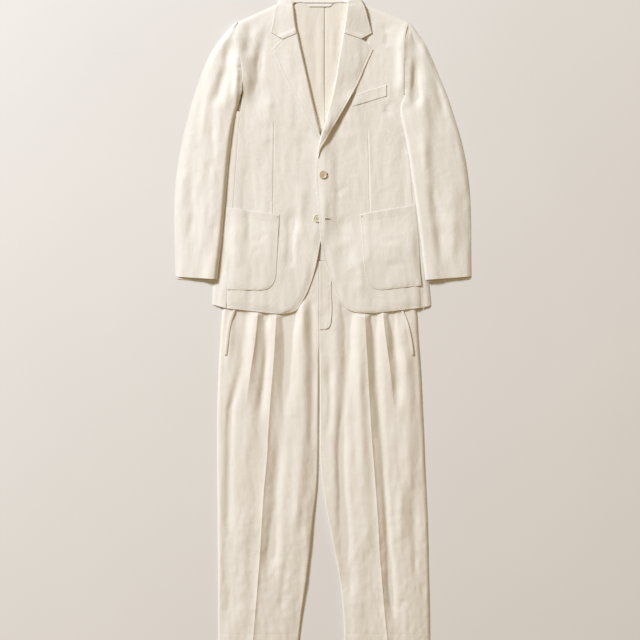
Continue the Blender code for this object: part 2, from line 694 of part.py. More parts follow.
def strip(name, table, count, columns, heights, thickness=THIN_WALL, lift=0.0):
    """A small patch or strip that lies on what is below it."""
    grid = grid_between(sections(table, count), columns)
    return add_wall(name, wall(grid, heights, lift, thickness))


def fly(heights):
    """Fly facing beside the centre front, from the waist seam down."""
    inner = CENTRE_FRONT_X + 2 * SEAM_GAP
    outer = inner + FLY_WIDTH
    turn = FLY_LOW_Y + FLY_CORNER
    table = (
        (inner, WAIST_SEAM_Y - SEAM_GAP, outer, WAIST_SEAM_Y - SEAM_GAP),
        (inner, turn, outer, turn + FLY_CORNER),
        (inner, FLY_LOW_Y, outer - FLY_CORNER, FLY_LOW_Y + SEAM_GAP),
    )
    return strip("fly", table, FLY_ROWS, (3,), heights)


def pocket_mouth(side, heights):
    """Turned edge of the slanted side pocket, a strip on the inner side of its line."""
    sign = 1 if side == "left" else -1
    line = np.array(POCKET_MOUTHS[side])
    inner = line - np.array((sign * POCKET_MOUTH_WIDTH, 0.0))
    return strip(f"pocket_mouth_{side}", np.hstack([inner, line]), 8, (1,), heights)


def hip_pocket(side, heights):
    """Patch pocket on the front, its lower corner cut round."""
    rows = sections(POCKET_SECTIONS[side], POCKET_ROWS)
    grid = grid_between(rows, (6,))
    return add_wall(f"hip_pocket_{side}", wall(grid, heights, puff(grid.shape, POCKET_PUFF)))


def button(name, centre, heights):
    """Turned button with a raised rim, flat on the cloth under it; returns its top as a grid."""
    angle = np.linspace(0, 2 * np.pi, BUTTON_SIDES, endpoint=False)
    # Share of the radius and share of the height along the profile, from the foot to the dish.
    profile = ((0.55, 0.0), (0.90, 0.12), (1.0, 0.45), (0.97, 0.85), (0.86, 1.0), (0.72, 0.92), (0.5, 0.72))
    ring = np.stack([np.cos(angle), np.sin(angle)], axis=1)
    disc = np.array(centre) + BUTTON_RADIUS * ring
    around = np.stack([disc, np.broadcast_to(centre, disc.shape)])
    foot = resting_heights(heights, around).max()
    points = []
    for radius, height in profile:
        spread = np.array(centre) + ring * BUTTON_RADIUS * radius
        points.append(np.column_stack([spread, np.full(BUTTON_SIDES, foot + BUTTON_HEIGHT * height)]))
    points = np.concatenate(points)
    index = np.arange(len(points)).reshape(len(profile), BUTTON_SIDES)
    following = np.roll(index, -1, axis=1)
    sides = np.stack([index[:-1], following[:-1], following[1:], index[1:]], axis=-1).reshape(-1, 4)
    faces = sides.tolist() + [index[0, ::-1].tolist(), index[-1].tolist()]
    mesh = bpy.data.meshes.new(name)
    mesh.from_pydata(points.tolist(), [], faces)
    add_piece(name, mesh, "horn")
    top = np.full((2, BUTTON_SIDES, 1), foot + BUTTON_HEIGHT)
    return np.concatenate([around, top], axis=2)


def trousers(back_map):
    """Trousers with their waist on the jacket's back and their legs on the floor."""
    backs = [trouser_back(side, back_map) for side in ("left", "right")]
    band_left, band_right = LEG_SECTIONS["left"][0][1], LEG_SECTIONS["right"][0][1]
    backs.append(waistband("waistband_back", band_right + EDGE_INSET, band_left - EDGE_INSET, back_map))
    over_backs = pressed(back_map, backs)
    fronts = [trouser_front(side, over_backs, back_map) for side in ("left", "right")]
    middle = CENTRE_FRONT_X
    fronts.append(waistband("waistband_left", middle + SEAM_GAP / 2, band_left, over_backs, SEAM_GAP))
    fronts.append(waistband("waistband_right", band_right, middle - SEAM_GAP / 2, over_backs, SEAM_GAP))
    over_fronts = pressed(over_backs, fronts)
    trims = [fly(over_fronts)] + [pocket_mouth(side, over_fronts) for side in ("left", "right")]
    return pressed(over_fronts, trims)


def jacket_body(heights, back_map, floor):
    """Right front below, left front over it, with the lapels, pockets, buttons and collar on them."""
    below = heights
    tops = [jacket_front("right", heights, floor), jacket_side("right", heights, floor)]
    heights = pressed(heights, tops)
    heights = pressed(heights, [lapel("right", heights, below)])
    heights = pressed(heights, [button("button_lower", LOWER_BUTTON, heights)])
    below = heights
    tops = [jacket_front("left", heights, floor), jacket_side("left", heights, floor)]
    heights = pressed(heights, tops)
    welt = strip("breast_welt", WELT_SECTIONS, 2, (5,), heights)
    heights = pressed(heights, [welt, button("button_upper", UPPER_BUTTON, heights)])
    heights = pressed(heights, [lapel("left", heights, below)])
    tops = [hip_pocket(side, heights) for side in ("left", "right")]
    tops.append(collar(heights, back_map))
    return pressed(heights, tops)


def sleeves(heights, back_map):
    """Sleeves, beside the armholes and partly on the body's sides."""
    y = MAP_LOW[1] + CELL * np.arange(MAP_SHAPE[1])
    for side in ("left", "right"):
        armpit_y = SLEEVE_SECTIONS[side][0][1]
        ground = np.where(y > armpit_y, back_map, heights)
        over_under = pressed(ground, [sleeve_under(side, ground)])
        sleeve_upper(side, over_under, ground)


def main():
    clear_scene()
    floor = np.zeros(MAP_SHAPE)
    back_map = pressed(floor, [jacket_back(side, floor) for side in ("left", "right")])
    tab = strip("neck_tab", NECK_TAB_SECTIONS, 2, (4,), back_map)
    over_trousers = trousers(back_map)
    over_body = jacket_body(over_trousers, pressed(back_map, [tab]), floor)
    sleeves(over_body, back_map)


main()
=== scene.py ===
import bpy
import numpy as np
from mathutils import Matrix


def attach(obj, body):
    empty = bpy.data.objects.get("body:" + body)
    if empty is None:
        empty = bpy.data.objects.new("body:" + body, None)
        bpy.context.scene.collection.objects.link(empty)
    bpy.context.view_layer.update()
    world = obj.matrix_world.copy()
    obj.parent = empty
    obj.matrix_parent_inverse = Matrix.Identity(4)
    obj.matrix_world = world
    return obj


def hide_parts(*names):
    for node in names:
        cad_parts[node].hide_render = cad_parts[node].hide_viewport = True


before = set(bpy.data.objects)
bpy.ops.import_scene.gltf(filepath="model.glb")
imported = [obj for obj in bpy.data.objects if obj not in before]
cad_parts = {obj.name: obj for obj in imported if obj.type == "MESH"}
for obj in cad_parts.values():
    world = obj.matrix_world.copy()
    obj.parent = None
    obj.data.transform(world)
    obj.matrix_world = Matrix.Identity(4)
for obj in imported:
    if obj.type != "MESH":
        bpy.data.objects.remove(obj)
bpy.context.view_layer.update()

# A linen suit laid flat, seen from straight above. +Z is up, +Y towards the collar. Left is the wearer's own
# left, on +X. Each cloth panel is a grid over its outline. It is laid on a map of heights of all that is there
# already, so that it rises and sinks over the panels below it.
# Numbers are metres, but the tables of outlines and folds are millimetres. A row of sections is x and y of each
# of the panel's lines in turn. A fold is its path, also x and y in turn, its width and its rise.

heightMap = {
    "step": 0.0015,                 # size of a cell
    "low": (-0.405, -0.855),
    "shape": (540, 1140),
    "gap": 0.0003,                  # air between two layers
    "fine": 0.0013,                 # how finely a surface is read into the map
}
halfSeam = 0.0002                   # half the gap between two panels that meet at a seam
sideSign = {"left": 1, "right": -1}


# shapes

def smoothStep(low, high, value):
    # 0 below low, 1 above high, and 3s^2 - 2s^3 between them
    s = np.clip((value - low) / (high - low), 0, 1)
    return s * s * (3 - 2 * s)


def roundOff(distance, radius):
    # a quarter circle: 0 at the edge, 1 from the radius on
    s = np.clip(distance / radius, 0, 1)
    return np.sqrt(1 - (1 - s) ** 2)


def rollOff(distance, radius):
    # a parabola: 0 at the edge, 1 from the radius on, not as steep at the edge as the circle
    s = np.clip(distance / radius, 0, 1)
    return s * (2 - s)


def bell(distance, width):
    # e to the minus square of distance over width
    return np.exp(-(distance / width) ** 2)


def metres(table):
    return np.array(table, float) / 1000


def curveThrough(knots, values, places):
    # a cubic through the values, its slope at each knot taken from the neighbours
    slopes = np.gradient(values, knots, axis=0)
    span = np.clip(np.searchsorted(knots, places, side="right") - 1, 0, len(knots) - 2)
    length = knots[span + 1] - knots[span]
    t = ((places - knots[span]) / length)[:, None]
    length = length[:, None]
    square, cube = t * t, t * t * t
    return (
        (2 * cube - 3 * square + 1) * values[span]
        + (cube - 2 * square + t) * length * slopes[span]
        + (3 * square - 2 * cube) * values[span + 1]
        + (cube - square) * length * slopes[span + 1]
    )


def marksAlong(length, step, start=(), end=(), extra=()):
    # places from 0 to length: the fine ones given from either end, and even ones no further apart than step
    marks = np.concatenate([[0.0, length], start, length - np.array(end), extra])
    marks = np.unique(np.round(marks[(marks >= 0) & (marks <= length)], 6))
    counts = np.maximum(1, np.ceil(np.diff(marks) / step - 1e-6).astype(int))
    spans = [np.linspace(a, b, n, endpoint=False) for a, b, n in zip(marks[:-1], marks[1:], counts)]
    return np.concatenate(spans + [marks[-1:]])


def rowsOf(table, step, start=(), end=(), extra=()):
    # a smooth cubic through the table's rows, read at marks along its middle line: row, point, x and y
    rows = np.array(table, float)
    middle = rows.reshape(len(rows), -1, 2).mean(axis=1)
    knots = np.concatenate([[0], np.cumsum(np.hypot(*np.diff(middle, axis=0).T))])
    places = marksAlong(knots[-1], step, start, end, extra)
    return curveThrough(knots, rows, places).reshape(len(places), -1, 2)


def netOf(rows, step, near):
    # points across every row: fine ones at set distances beside each line, even ones between them
    widths = np.linalg.norm(np.diff(rows, axis=1), axis=2)
    xy, across = [], []
    done = np.zeros(len(rows))
    for k in range(rows.shape[1] - 1):
        width = widths[:, k]
        before, after = np.array(near[k], float), np.array(near[k + 1], float)[::-1]
        reach = before.max(initial=0) + after.max(initial=0) + 1e-9
        squeeze = np.minimum(1, 0.85 * width / reach)[:, None]
        low = np.concatenate([np.zeros((len(rows), 1)), before * squeeze], axis=1)
        high = np.concatenate([width[:, None] - after * squeeze, width[:, None]], axis=1)
        count = max(1, int(np.ceil((high[:, 0] - low[:, -1]).max() / step)))
        inner = low[:, -1:] + (high[:, :1] - low[:, -1:]) * np.arange(1, count) / count
        s = np.concatenate([low, inner, high[:, :-1]], axis=1)
        unit = (rows[:, k + 1] - rows[:, k]) / width[:, None]
        xy.append(rows[:, k, None] + unit[:, None] * s[..., None])
        across.append(done[:, None] + s)
        done = done + width
    xy.append(rows[:, -1:])
    across.append(done[:, None])
    lines = np.concatenate([np.zeros((len(rows), 1)), np.cumsum(widths, axis=1)], axis=1)
    return {"xy": np.concatenate(xy, axis=1), "across": np.concatenate(across, axis=1), "lines": lines}


def fromEdge(xy, edge):
    # distance of every point to the end of its own row or column
    edges = {"first": xy[:, :1], "last": xy[:, -1:], "start": xy[:1], "end": xy[-1:]}
    return np.linalg.norm(xy - edges[edge], axis=2)


def nearPath(x, y, path):
    # distance to a path, above 0 on its +X side, and the place along it as a share of its length
    steps = np.diff(path, axis=0)
    lengths = np.hypot(steps[:, 0], steps[:, 1])
    starts = np.concatenate([[0], np.cumsum(lengths)])
    nearest = np.full(x.shape, 1e9)
    signed, place = nearest.copy(), np.zeros(x.shape)
    for (px, py), (dx, dy), length, start in zip(path[:-1], steps, lengths, starts):
        t = np.clip(((x - px) * dx + (y - py) * dy) / length ** 2, 0, 1)
        away = np.hypot(x - px - t * dx, y - py - t * dy)
        turn = np.sign((x - px) * dy - (y - py) * dx)
        turn = turn * (-1 if dy < 0 else 1)
        closer = away < nearest
        nearest = np.where(closer, away, nearest)
        signed = np.where(closer, np.where(turn == 0, 1, turn) * away, signed)
        place = np.where(closer, (start + t * length) / starts[-1], place)
    return signed, place


def foldField(x, y, folds):
    # sum of soft folds: a bell across each path, uneven along it and fading at both ends
    total = np.zeros(x.shape)
    for number, (path, width, rise) in enumerate(folds):
        path, width, rise = metres(path).reshape(-1, 2), width / 1000, rise / 1000
        away, place = nearPath(x, y, path)
        end = min(0.28, 0.07 / np.hypot(*np.diff(path, axis=0).T).sum())
        fade = smoothStep(0, end, place) * smoothStep(0, end, 1 - place)
        uneven = 1 + 0.28 * np.sin(9.1 * place + 1.7 * number) + 0.14 * np.sin(23 * place + 2.9 * number)
        total += rise * bell(away, width * (1 + 0.2 * np.sin(7 * place + number))) * fade * uneven
    return total


def softNoise(x, y, across, along, seed, turn=0.0):
    # random values on a lattice, joined by the smooth step: between -1 and 1
    lattice = np.random.default_rng(seed).uniform(-1, 1, (256, 256))
    u = (np.cos(turn) * x + np.sin(turn) * y) / across + 97.3
    v = (np.cos(turn) * y - np.sin(turn) * x) / along + 61.9
    i, j = np.floor(u).astype(int), np.floor(v).astype(int)
    s, t = u - i, v - j
    s, t = s * s * s * (s * (6 * s - 15) + 10), t * t * t * (t * (6 * t - 15) + 10)
    corner = [lattice[(i + a) % 256, (j + b) % 256] for a, b in ((0, 0), (1, 0), (0, 1), (1, 1))]
    low, high = corner[0] + s * (corner[1] - corner[0]), corner[2] + s * (corner[3] - corner[2])
    return low + t * (high - low)


def wrinkles(x, y, seed, size=1.0, turn=0.0):
    # long soft waves, shorter ones on them, and small crossing creases
    waves = 0.75 * softNoise(x, y, 0.026, 0.16, seed, turn)
    waves += 0.36 * softNoise(x, y, 0.013, 0.055, seed + 1, turn)
    waves += 0.23 * softNoise(x, y, 0.0085, 0.030, seed + 2, turn + 0.35)
    creases = 1 - np.abs(softNoise(x, y, 0.018, 0.034, seed + 3, turn - 0.5))
    patches = smoothStep(0.1, 0.7, softNoise(x, y, 0.06, 0.09, seed + 4))
    return size * 0.001 * (waves + 0.22 * patches * creases ** 5)


# map of heights

def freshMap():
    return np.zeros(heightMap["shape"])


def mapPlaces(xy):
    return (xy - np.array(heightMap["low"])) / heightMap["step"] - 0.5


def readMap(heights, xy):
    # the map read between its cells
    place = np.clip(mapPlaces(xy), 0, np.array(heights.shape) - 1.001)
    i, j = np.floor(place[..., 0]).astype(int), np.floor(place[..., 1]).astype(int)
    s, t = place[..., 0] - i, place[..., 1] - j
    near = heights[i, j] * (1 - s) + heights[i + 1, j] * s
    far = heights[i, j + 1] * (1 - s) + heights[i + 1, j + 1] * s
    return near * (1 - t) + far * t


def pressed(heights, *tops):
    # the map raised to each top surface, which is read finely between its points
    raised = heights.copy()
    for xyz in tops:
        cell = [np.abs(np.diff(xyz[..., :2], axis=k)).sum(axis=2).max() for k in (0, 1)]
        a, b = (np.linspace(0, 1, int(size / heightMap["fine"]) + 2) for size in cell)
        a, b = a[:, None, None], b[:, None]
        low, up = xyz[:-1, :-1, None, None], xyz[1:, :-1, None, None]
        right, far = xyz[:-1, 1:, None, None], xyz[1:, 1:, None, None]
        fine = (low * (1 - a) + up * a) * (1 - b) + (right * (1 - a) + far * a) * b
        place = np.round(mapPlaces(fine[..., :2])).astype(int)
        i = np.clip(place[..., 0], 0, raised.shape[0] - 1).ravel()
        j = np.clip(place[..., 1], 0, raised.shape[1] - 1).ravel()
        np.maximum.at(raised, (i, j), fine[..., 2].ravel())
    return raised


def spread(heights, cells, how):
    # each cell takes the highest, or the average, of the rectangle round it
    for axis in (0, 1):
        reach = cells[axis]
        pad = [(reach, reach) if k == axis else (0, 0) for k in (0, 1)]
        padded = np.pad(heights, pad, mode="edge")
        window = np.lib.stride_tricks.sliding_window_view(padded, 2 * reach + 1, axis=axis)
        heights = window.max(axis=-1) if how == "highest" else window.mean(axis=-1)
    return heights


def bridged(heights, cells, down=0):
    # cloth spans the steps below it: the highest within reach, then averaged twice over half the reach
    wide = spread(heights, (cells + 2, cells + 2 + down), "highest")
    wide = spread(wide, ((cells + 1) // 2, (cells + down + 1) // 2), "average")
    wide = spread(wide, (max(1, cells // 2), max(1, (cells + down) // 2)), "average")
    return np.where(wide > 1e-5, wide + heightMap["gap"], 0)


# meshes

def quadMesh(name, points, faces, uv):
    # a smooth mesh of four-cornered faces, with a map called panel
    mesh = bpy.data.meshes.new(name)
    mesh.vertices.add(len(points))
    mesh.vertices.foreach_set("co", np.ascontiguousarray(points, np.float32).ravel())
    mesh.loops.add(faces.size)
    mesh.loops.foreach_set("vertex_index", np.ascontiguousarray(faces, np.int32).ravel())
    mesh.polygons.add(len(faces))
    mesh.polygons.foreach_set("loop_start", np.arange(0, faces.size, faces.shape[1], dtype=np.int32))
    layer = mesh.uv_layers.new(name="panel")
    layer.data.foreach_set("uv", np.ascontiguousarray(uv[faces.ravel()], np.float32).ravel())
    mesh.update(calc_edges=True)
    mesh.validate()
    mesh.shade_smooth()
    return mesh


def addPiece(name, mesh, material, nodes=()):
    # the mesh as an object on the one body, with its recolour slot and the solids that it replaces
    mesh.materials.append(material)
    piece = bpy.data.objects.new(name, mesh)
    bpy.context.scene.collection.objects.link(piece)
    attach(piece, "root")
    if nodes:
        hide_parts(*nodes)
    return piece


def sheetMesh(name, net, under, top):
    # a closed shell: the top grid, the under grid turned over, and a ring of faces round them
    rows, columns = top.shape
    xy = net["xy"]
    points = np.concatenate([np.dstack([xy, top]).reshape(-1, 3), np.dstack([xy, under]).reshape(-1, 3)])
    index = np.arange(rows * columns).reshape(rows, columns)
    cells = np.stack([index[:-1, :-1], index[:-1, 1:], index[1:, 1:], index[1:, :-1]], axis=-1).reshape(-1, 4)
    ring = np.concatenate([index[0, :-1], index[:-1, -1], index[-1, :0:-1], index[:0:-1, 0]])
    after = np.roll(ring, -1)
    below = rows * columns
    strip = np.stack([after, ring, ring + below, after + below], axis=-1)
    faces = np.concatenate([cells, cells[:, ::-1] + below, strip])
    row, column = xy[rows // 2, -1] - xy[rows // 2, 0], xy[-1].mean(axis=0) - xy[0].mean(axis=0)
    if row[0] * column[1] - row[1] * column[0] < 0:
        faces = faces[:, ::-1]
    down = np.linalg.norm(np.diff(xy, axis=0), axis=2).mean(axis=1)
    along = np.concatenate([[0], np.cumsum(down)])[:, None] + np.zeros(columns)
    uv = np.tile(np.stack([net["across"], along], axis=-1).reshape(-1, 2), (2, 1))
    return quadMesh(name, points, faces, uv), along[-1, 0]


def flatArea(xy):
    # half the cross product of each cell's diagonals
    a, b = xy[1:, 1:] - xy[:-1, :-1], xy[1:, :-1] - xy[:-1, 1:]
    return np.abs(a[..., 0] * b[..., 1] - a[..., 1] * b[..., 0]).sum() / 2


def layCloth(node, net, heights, look, lift, material, ground=None, folded=(), sewn=(), dent=0.0, restsOn=()):
    # one panel: its underside is the bridged map plus the lift, its top is a wall higher. A cut edge is a round
    # bead. A folded edge, given with its share and radius, comes down to the ground in a parabola.
    xy, wall, gap = net["xy"], look["wall"], heightMap["gap"]
    beadRadius, topShare, underShare = beadLook["sewnDown" if "sewnDown" in look else "free"]
    under = readMap(bridged(heights, look["bridge"], look.get("bridgeDown", 0)), xy) + np.maximum(lift, 0)
    top = under + wall - dent
    for edge in ("first", "last", "start", "end"):
        if edge in sewn:
            continue
        cutShare = 1 - sum(part for name, part, _ in folded if name == edge)
        bead = wall * (1 - roundOff(fromEdge(xy, edge), beadRadius)) * cutShare
        top, under = top - topShare * bead, under + underShare * bead
    if folded:
        foot = readMap(bridged(ground, 2), xy)
        for edge, part, radius in folded:
            down = (1 - rollOff(fromEdge(xy, edge), radius)) * part
            fall = foot + gap + (top - foot - gap) * (1 - down)
            under = np.where(down > 0, np.minimum(under, np.maximum(foot, fall - wall)), under)
            top = np.where(down > 0, fall, top)
        under = np.minimum(under, top - 0.00025)
    name = node + "_cloth"
    mesh, length = sheetMesh(name, net, under, top)
    piece = addPiece(name, mesh, material, (node,))
    width = float(net["lines"][:, -1].max())
    area = min(float(flatArea(xy)), width * length)
    cutPieces[node] = (piece, (width, float(length)), list(restsOn), area)
    print(f"cut {name}: {width:.3f} x {length:.3f} m, {area:.4f} m2, top at {1000 * top.max():.1f} mm")
    laid[node] = np.dstack([xy, top])
    return laid[node]


# the bead along a cut edge: its radius, and the shares of the wall that the top and the underside give up there
beadLook = {"sewnDown": (0.0028, 0.86, 0.0), "free": (0.0017, 0.46, 0.36)}

laid = {}           # the top surface of each panel
buttonTops = {}     # height of each button's face
cutPieces = {}      # each panel's mesh object, cut size, what it lies on and flat area
sewnOn = {}         # what is sewn on it: stitching, buttonholes, the pockets' turned mouths

# places of fine points beside a cut edge, a folded edge, an inner line, and a panel's first and last row
beadMarks = (0.0004, 0.0010, 0.0018, 0.0030, 0.0042, 0.0052, 0.0062, 0.0078)
rollMarks = (0.0003, 0.0009, 0.0018, 0.0030, 0.0046, 0.0066, 0.0090)
lineMarks = (0.0006, 0.0013, 0.0024, 0.0040)
endMarks = (0.0004, 0.0010, 0.0018, 0.0030, 0.0044, 0.0056, 0.0070)

# materials

linenLook = {
    "colour": (0.825, 0.780, 0.695),
    "paler": (0.865, 0.830, 0.755),
    "thread": 0.00062,              # from one thread to the next
    "weave": 0.20,                  # strength of the weave's bump
    "slub": 0.16,                   # strength of the thick threads' bump
    "crumple": 0.10,
    "streak": 0.17,                 # strength of the fine creases along the panel
    "roughness": 0.88,
    "sheen": 0.10,
}


def newMaterial(name):
    # a material, a function that gives a node's inputs a value or a link, and one that adds a node
    material = bpy.data.materials.new(name)
    material.use_nodes = True
    tree = material.node_tree

    def connect(node, inputs):
        for key, value in inputs.items():
            if isinstance(value, bpy.types.NodeSocket):
                tree.links.new(value, node.inputs[key])
            else:
                node.inputs[key].default_value = value

    def make(kind, inputs=None, **settings):
        node = tree.nodes.new(kind)
        for key, value in settings.items():
            setattr(node, key, value)
        connect(node, inputs or {})
        return node

    return material, connect, make, tree.nodes["Principled BSDF"]


def linenMaterial(name, look, tint=(1.0, 1.0, 1.0)):
    # plain weave: the product of two sines over the panel's own map; slubs: noise drawn out along each thread
    # direction; crumple: soft noise of a centimetre. The colour follows the slubs and wide soft patches.
    material, connect, make, shader = newMaterial(name)
    panel = make("ShaderNodeUVMap", uv_map="panel").outputs["UV"]
    split = make("ShaderNodeSeparateXYZ", {0: panel})
    turn = 6.28319 / look["thread"] / 2
    sines = []
    for axis in ("X", "Y"):
        scaled = make("ShaderNodeMath", {0: split.outputs[axis], 1: turn}, operation="MULTIPLY")
        sines.append(make("ShaderNodeMath", {0: scaled.outputs[0]}, operation="SINE").outputs[0])
    weave = make("ShaderNodeMath", {0: sines[0], 1: sines[1]}, operation="MULTIPLY").outputs[0]
    slubs = []
    for scale in ((700, 42, 1), (38, 640, 1), (260, 16, 1)):
        stretched = make("ShaderNodeMapping", {"Vector": panel, "Scale": scale})
        noise = make("ShaderNodeTexNoise", {"Vector": stretched.outputs[0], "Scale": 1.0, "Detail": 3.0,
                                            "Roughness": 0.6}, noise_dimensions="2D")
        slubs.append(noise.outputs["Fac"])
    threads = make("ShaderNodeMath", {0: slubs[0], 1: slubs[1]}, operation="ADD").outputs[0]
    threads = make("ShaderNodeMath", {0: threads, 1: slubs[2]}, operation="ADD").outputs[0]
    patch = make("ShaderNodeTexNoise", {"Vector": panel, "Scale": 9.0, "Detail": 4.0}, noise_dimensions="2D")
    crumple = make("ShaderNodeTexNoise", {"Vector": panel, "Scale": 38.0, "Detail": 2.5, "Roughness": 0.45,
                                          "Distortion": 0.8}, noise_dimensions="2D")
    mixed = make("ShaderNodeMath", {0: threads, 1: patch.outputs["Fac"]}, operation="ADD")
    share = make("ShaderNodeMapRange", {"Value": mixed.outputs[0], "From Min": 1.35, "From Max": 2.65})
    colours = [tuple(a * b for a, b in zip(look[key], tint)) + (1.0,) for key in ("colour", "paler")]
    blended = make("ShaderNodeMix", {0: share.outputs[0], 6: colours[0], 7: colours[1]}, data_type="RGBA")
    drawn = make("ShaderNodeMapping", {"Vector": panel, "Scale": (80, 17, 1), "Rotation": (0, 0, 0.05)})
    streak = make("ShaderNodeTexNoise", {"Vector": drawn.outputs[0], "Scale": 1.0, "Detail": 4.0, "Roughness": 0.6,
                                         "Distortion": 0.5}, noise_dimensions="2D")
    bumps = None
    for height, strength, distance in (
        (crumple.outputs["Fac"], look["crumple"], 0.006),
        (streak.outputs["Fac"], look["streak"], 0.003),
        (threads, look["slub"], 0.0006),
        (weave, look["weave"], 0.0003),
    ):
        bump = make("ShaderNodeBump", {"Height": height, "Strength": strength, "Distance": distance})
        if bumps:
            connect(bump, {"Normal": bumps})
        bumps = bump.outputs["Normal"]
    connect(shader, {"Base Color": blended.outputs[2], "Normal": bumps, "Roughness": look["roughness"],
                     "Sheen Weight": look["sheen"], "Sheen Roughness": 0.5, "Specular IOR Level": 0.25})
    material.diffuse_color = colours[0]
    return material


jacketLinen = linenMaterial("jacketLinen", linenLook)
trouserLinen = linenMaterial("trouserLinen", linenLook, (0.995, 0.985, 0.970))
# painted shade: a darker, warmer copy of the linen for the panels that lie under others, the jacket back and the
# under sleeves
shadedUnderLinen = linenMaterial("shadedUnderLinen", linenLook, (0.965, 0.945, 0.915))
print("materials ready")

# jacket back and neck

backLook = {
    "wall": 0.0009, "bridge": 3, "slot": "jacket_linen",
    "centreX": 0.005,
    "open": 0.0014,                 # air below the back inside the neck
    "wrinkle": 0.35, "seam": 0.0005,
    "folds": (
        ((-24.4, 770, -20.4, 680, -16.4, 560), 8, -1.2), ((-4.8, 775, -4.8, 650, -2.8, 540), 7.5, 1),
        ((23.9, 780, 24.9, 680, 20, 590), 8.5, 1.5), ((46, 775, 42, 690, 34, 620), 8.5, -1.2),
        ((-46.4, 780, -40.4, 690), 8, 0.8),
    ),
    # height of the centre seam, then x and y of the middle and the outer line
    "sections": (
        (795, 61, 795, 210, 742), (720, 61, 720, 199, 700), (620, 64, 620, 198, 610), (565, 68, 565, 198, 562),
        (520, 75, 520, 236, 520), (430, 80, 430, 243, 430), (300, 80, 300, 247, 300), (190, 80, 190, 254, 190),
        (90, 80, 90, 261, 94), (36, 80, 36, 266, 42.5),
    ),
}


def jacketBack(side):
    # flat below the fronts; inside the neck some air, the folds and small creases; a groove along the centre seam
    rows = metres(backLook["sections"])
    rows[:, [1, 3]] *= sideSign[side]
    centre = np.full((len(rows), 1), backLook["centreX"] + sideSign[side] * halfSeam)
    net = netOf(rowsOf(np.hstack([centre, rows]), 0.0062, endMarks, endMarks), 0.0060, (beadMarks, (), ()))
    x, y = net["xy"][..., 0], net["xy"][..., 1]
    inside = smoothStep(0.10, 0.07, np.abs(x)) * smoothStep(0.47, 0.56, y)
    lift = inside * (backLook["open"] + foldField(x, y, backLook["folds"]) + wrinkles(x, y, 11, backLook["wrinkle"]))
    lift *= roundOff(net["across"], 0.006) * 0.9 + 0.1
    seam = backLook["seam"] * bell(net["across"], 0.0016)
    # the back is drawn in the painted-shade copy of the linen
    return layCloth(f"jacket_back_{side}", net, freshMap(), backLook, lift, shadedUnderLinen, dent=seam)


backTops = [jacketBack(side) for side in sideSign]
backMap = pressed(freshMap(), *backTops)

tabLook = {
    "wall": 0.0010, "bridge": 2, "slot": "jacket_linen",
    "lift": 0.0009,
    "sections": ((-42.5, 793.5, 26.2, 793.5), (-35, 785.3, 16.3, 785.3)),
}


def neckTab():
    # its lower edge stands off by a smooth step from the upper to the lower edge
    rows = rowsOf(metres(tabLook["sections"]), 0.0015, (), endMarks[:4])
    net = netOf(rows, 0.003, (endMarks[:4], endMarks[:4]))
    lift = tabLook["lift"] * smoothStep(rows[0, 0, 1], rows[-1, 0, 1], net["xy"][..., 1])
    return layCloth("neck_tab", net, backMap, tabLook, lift, jacketLinen, restsOn=["jacket_back_left_cloth"])


tabTop = neckTab()
print("jacket back laid")

# trousers

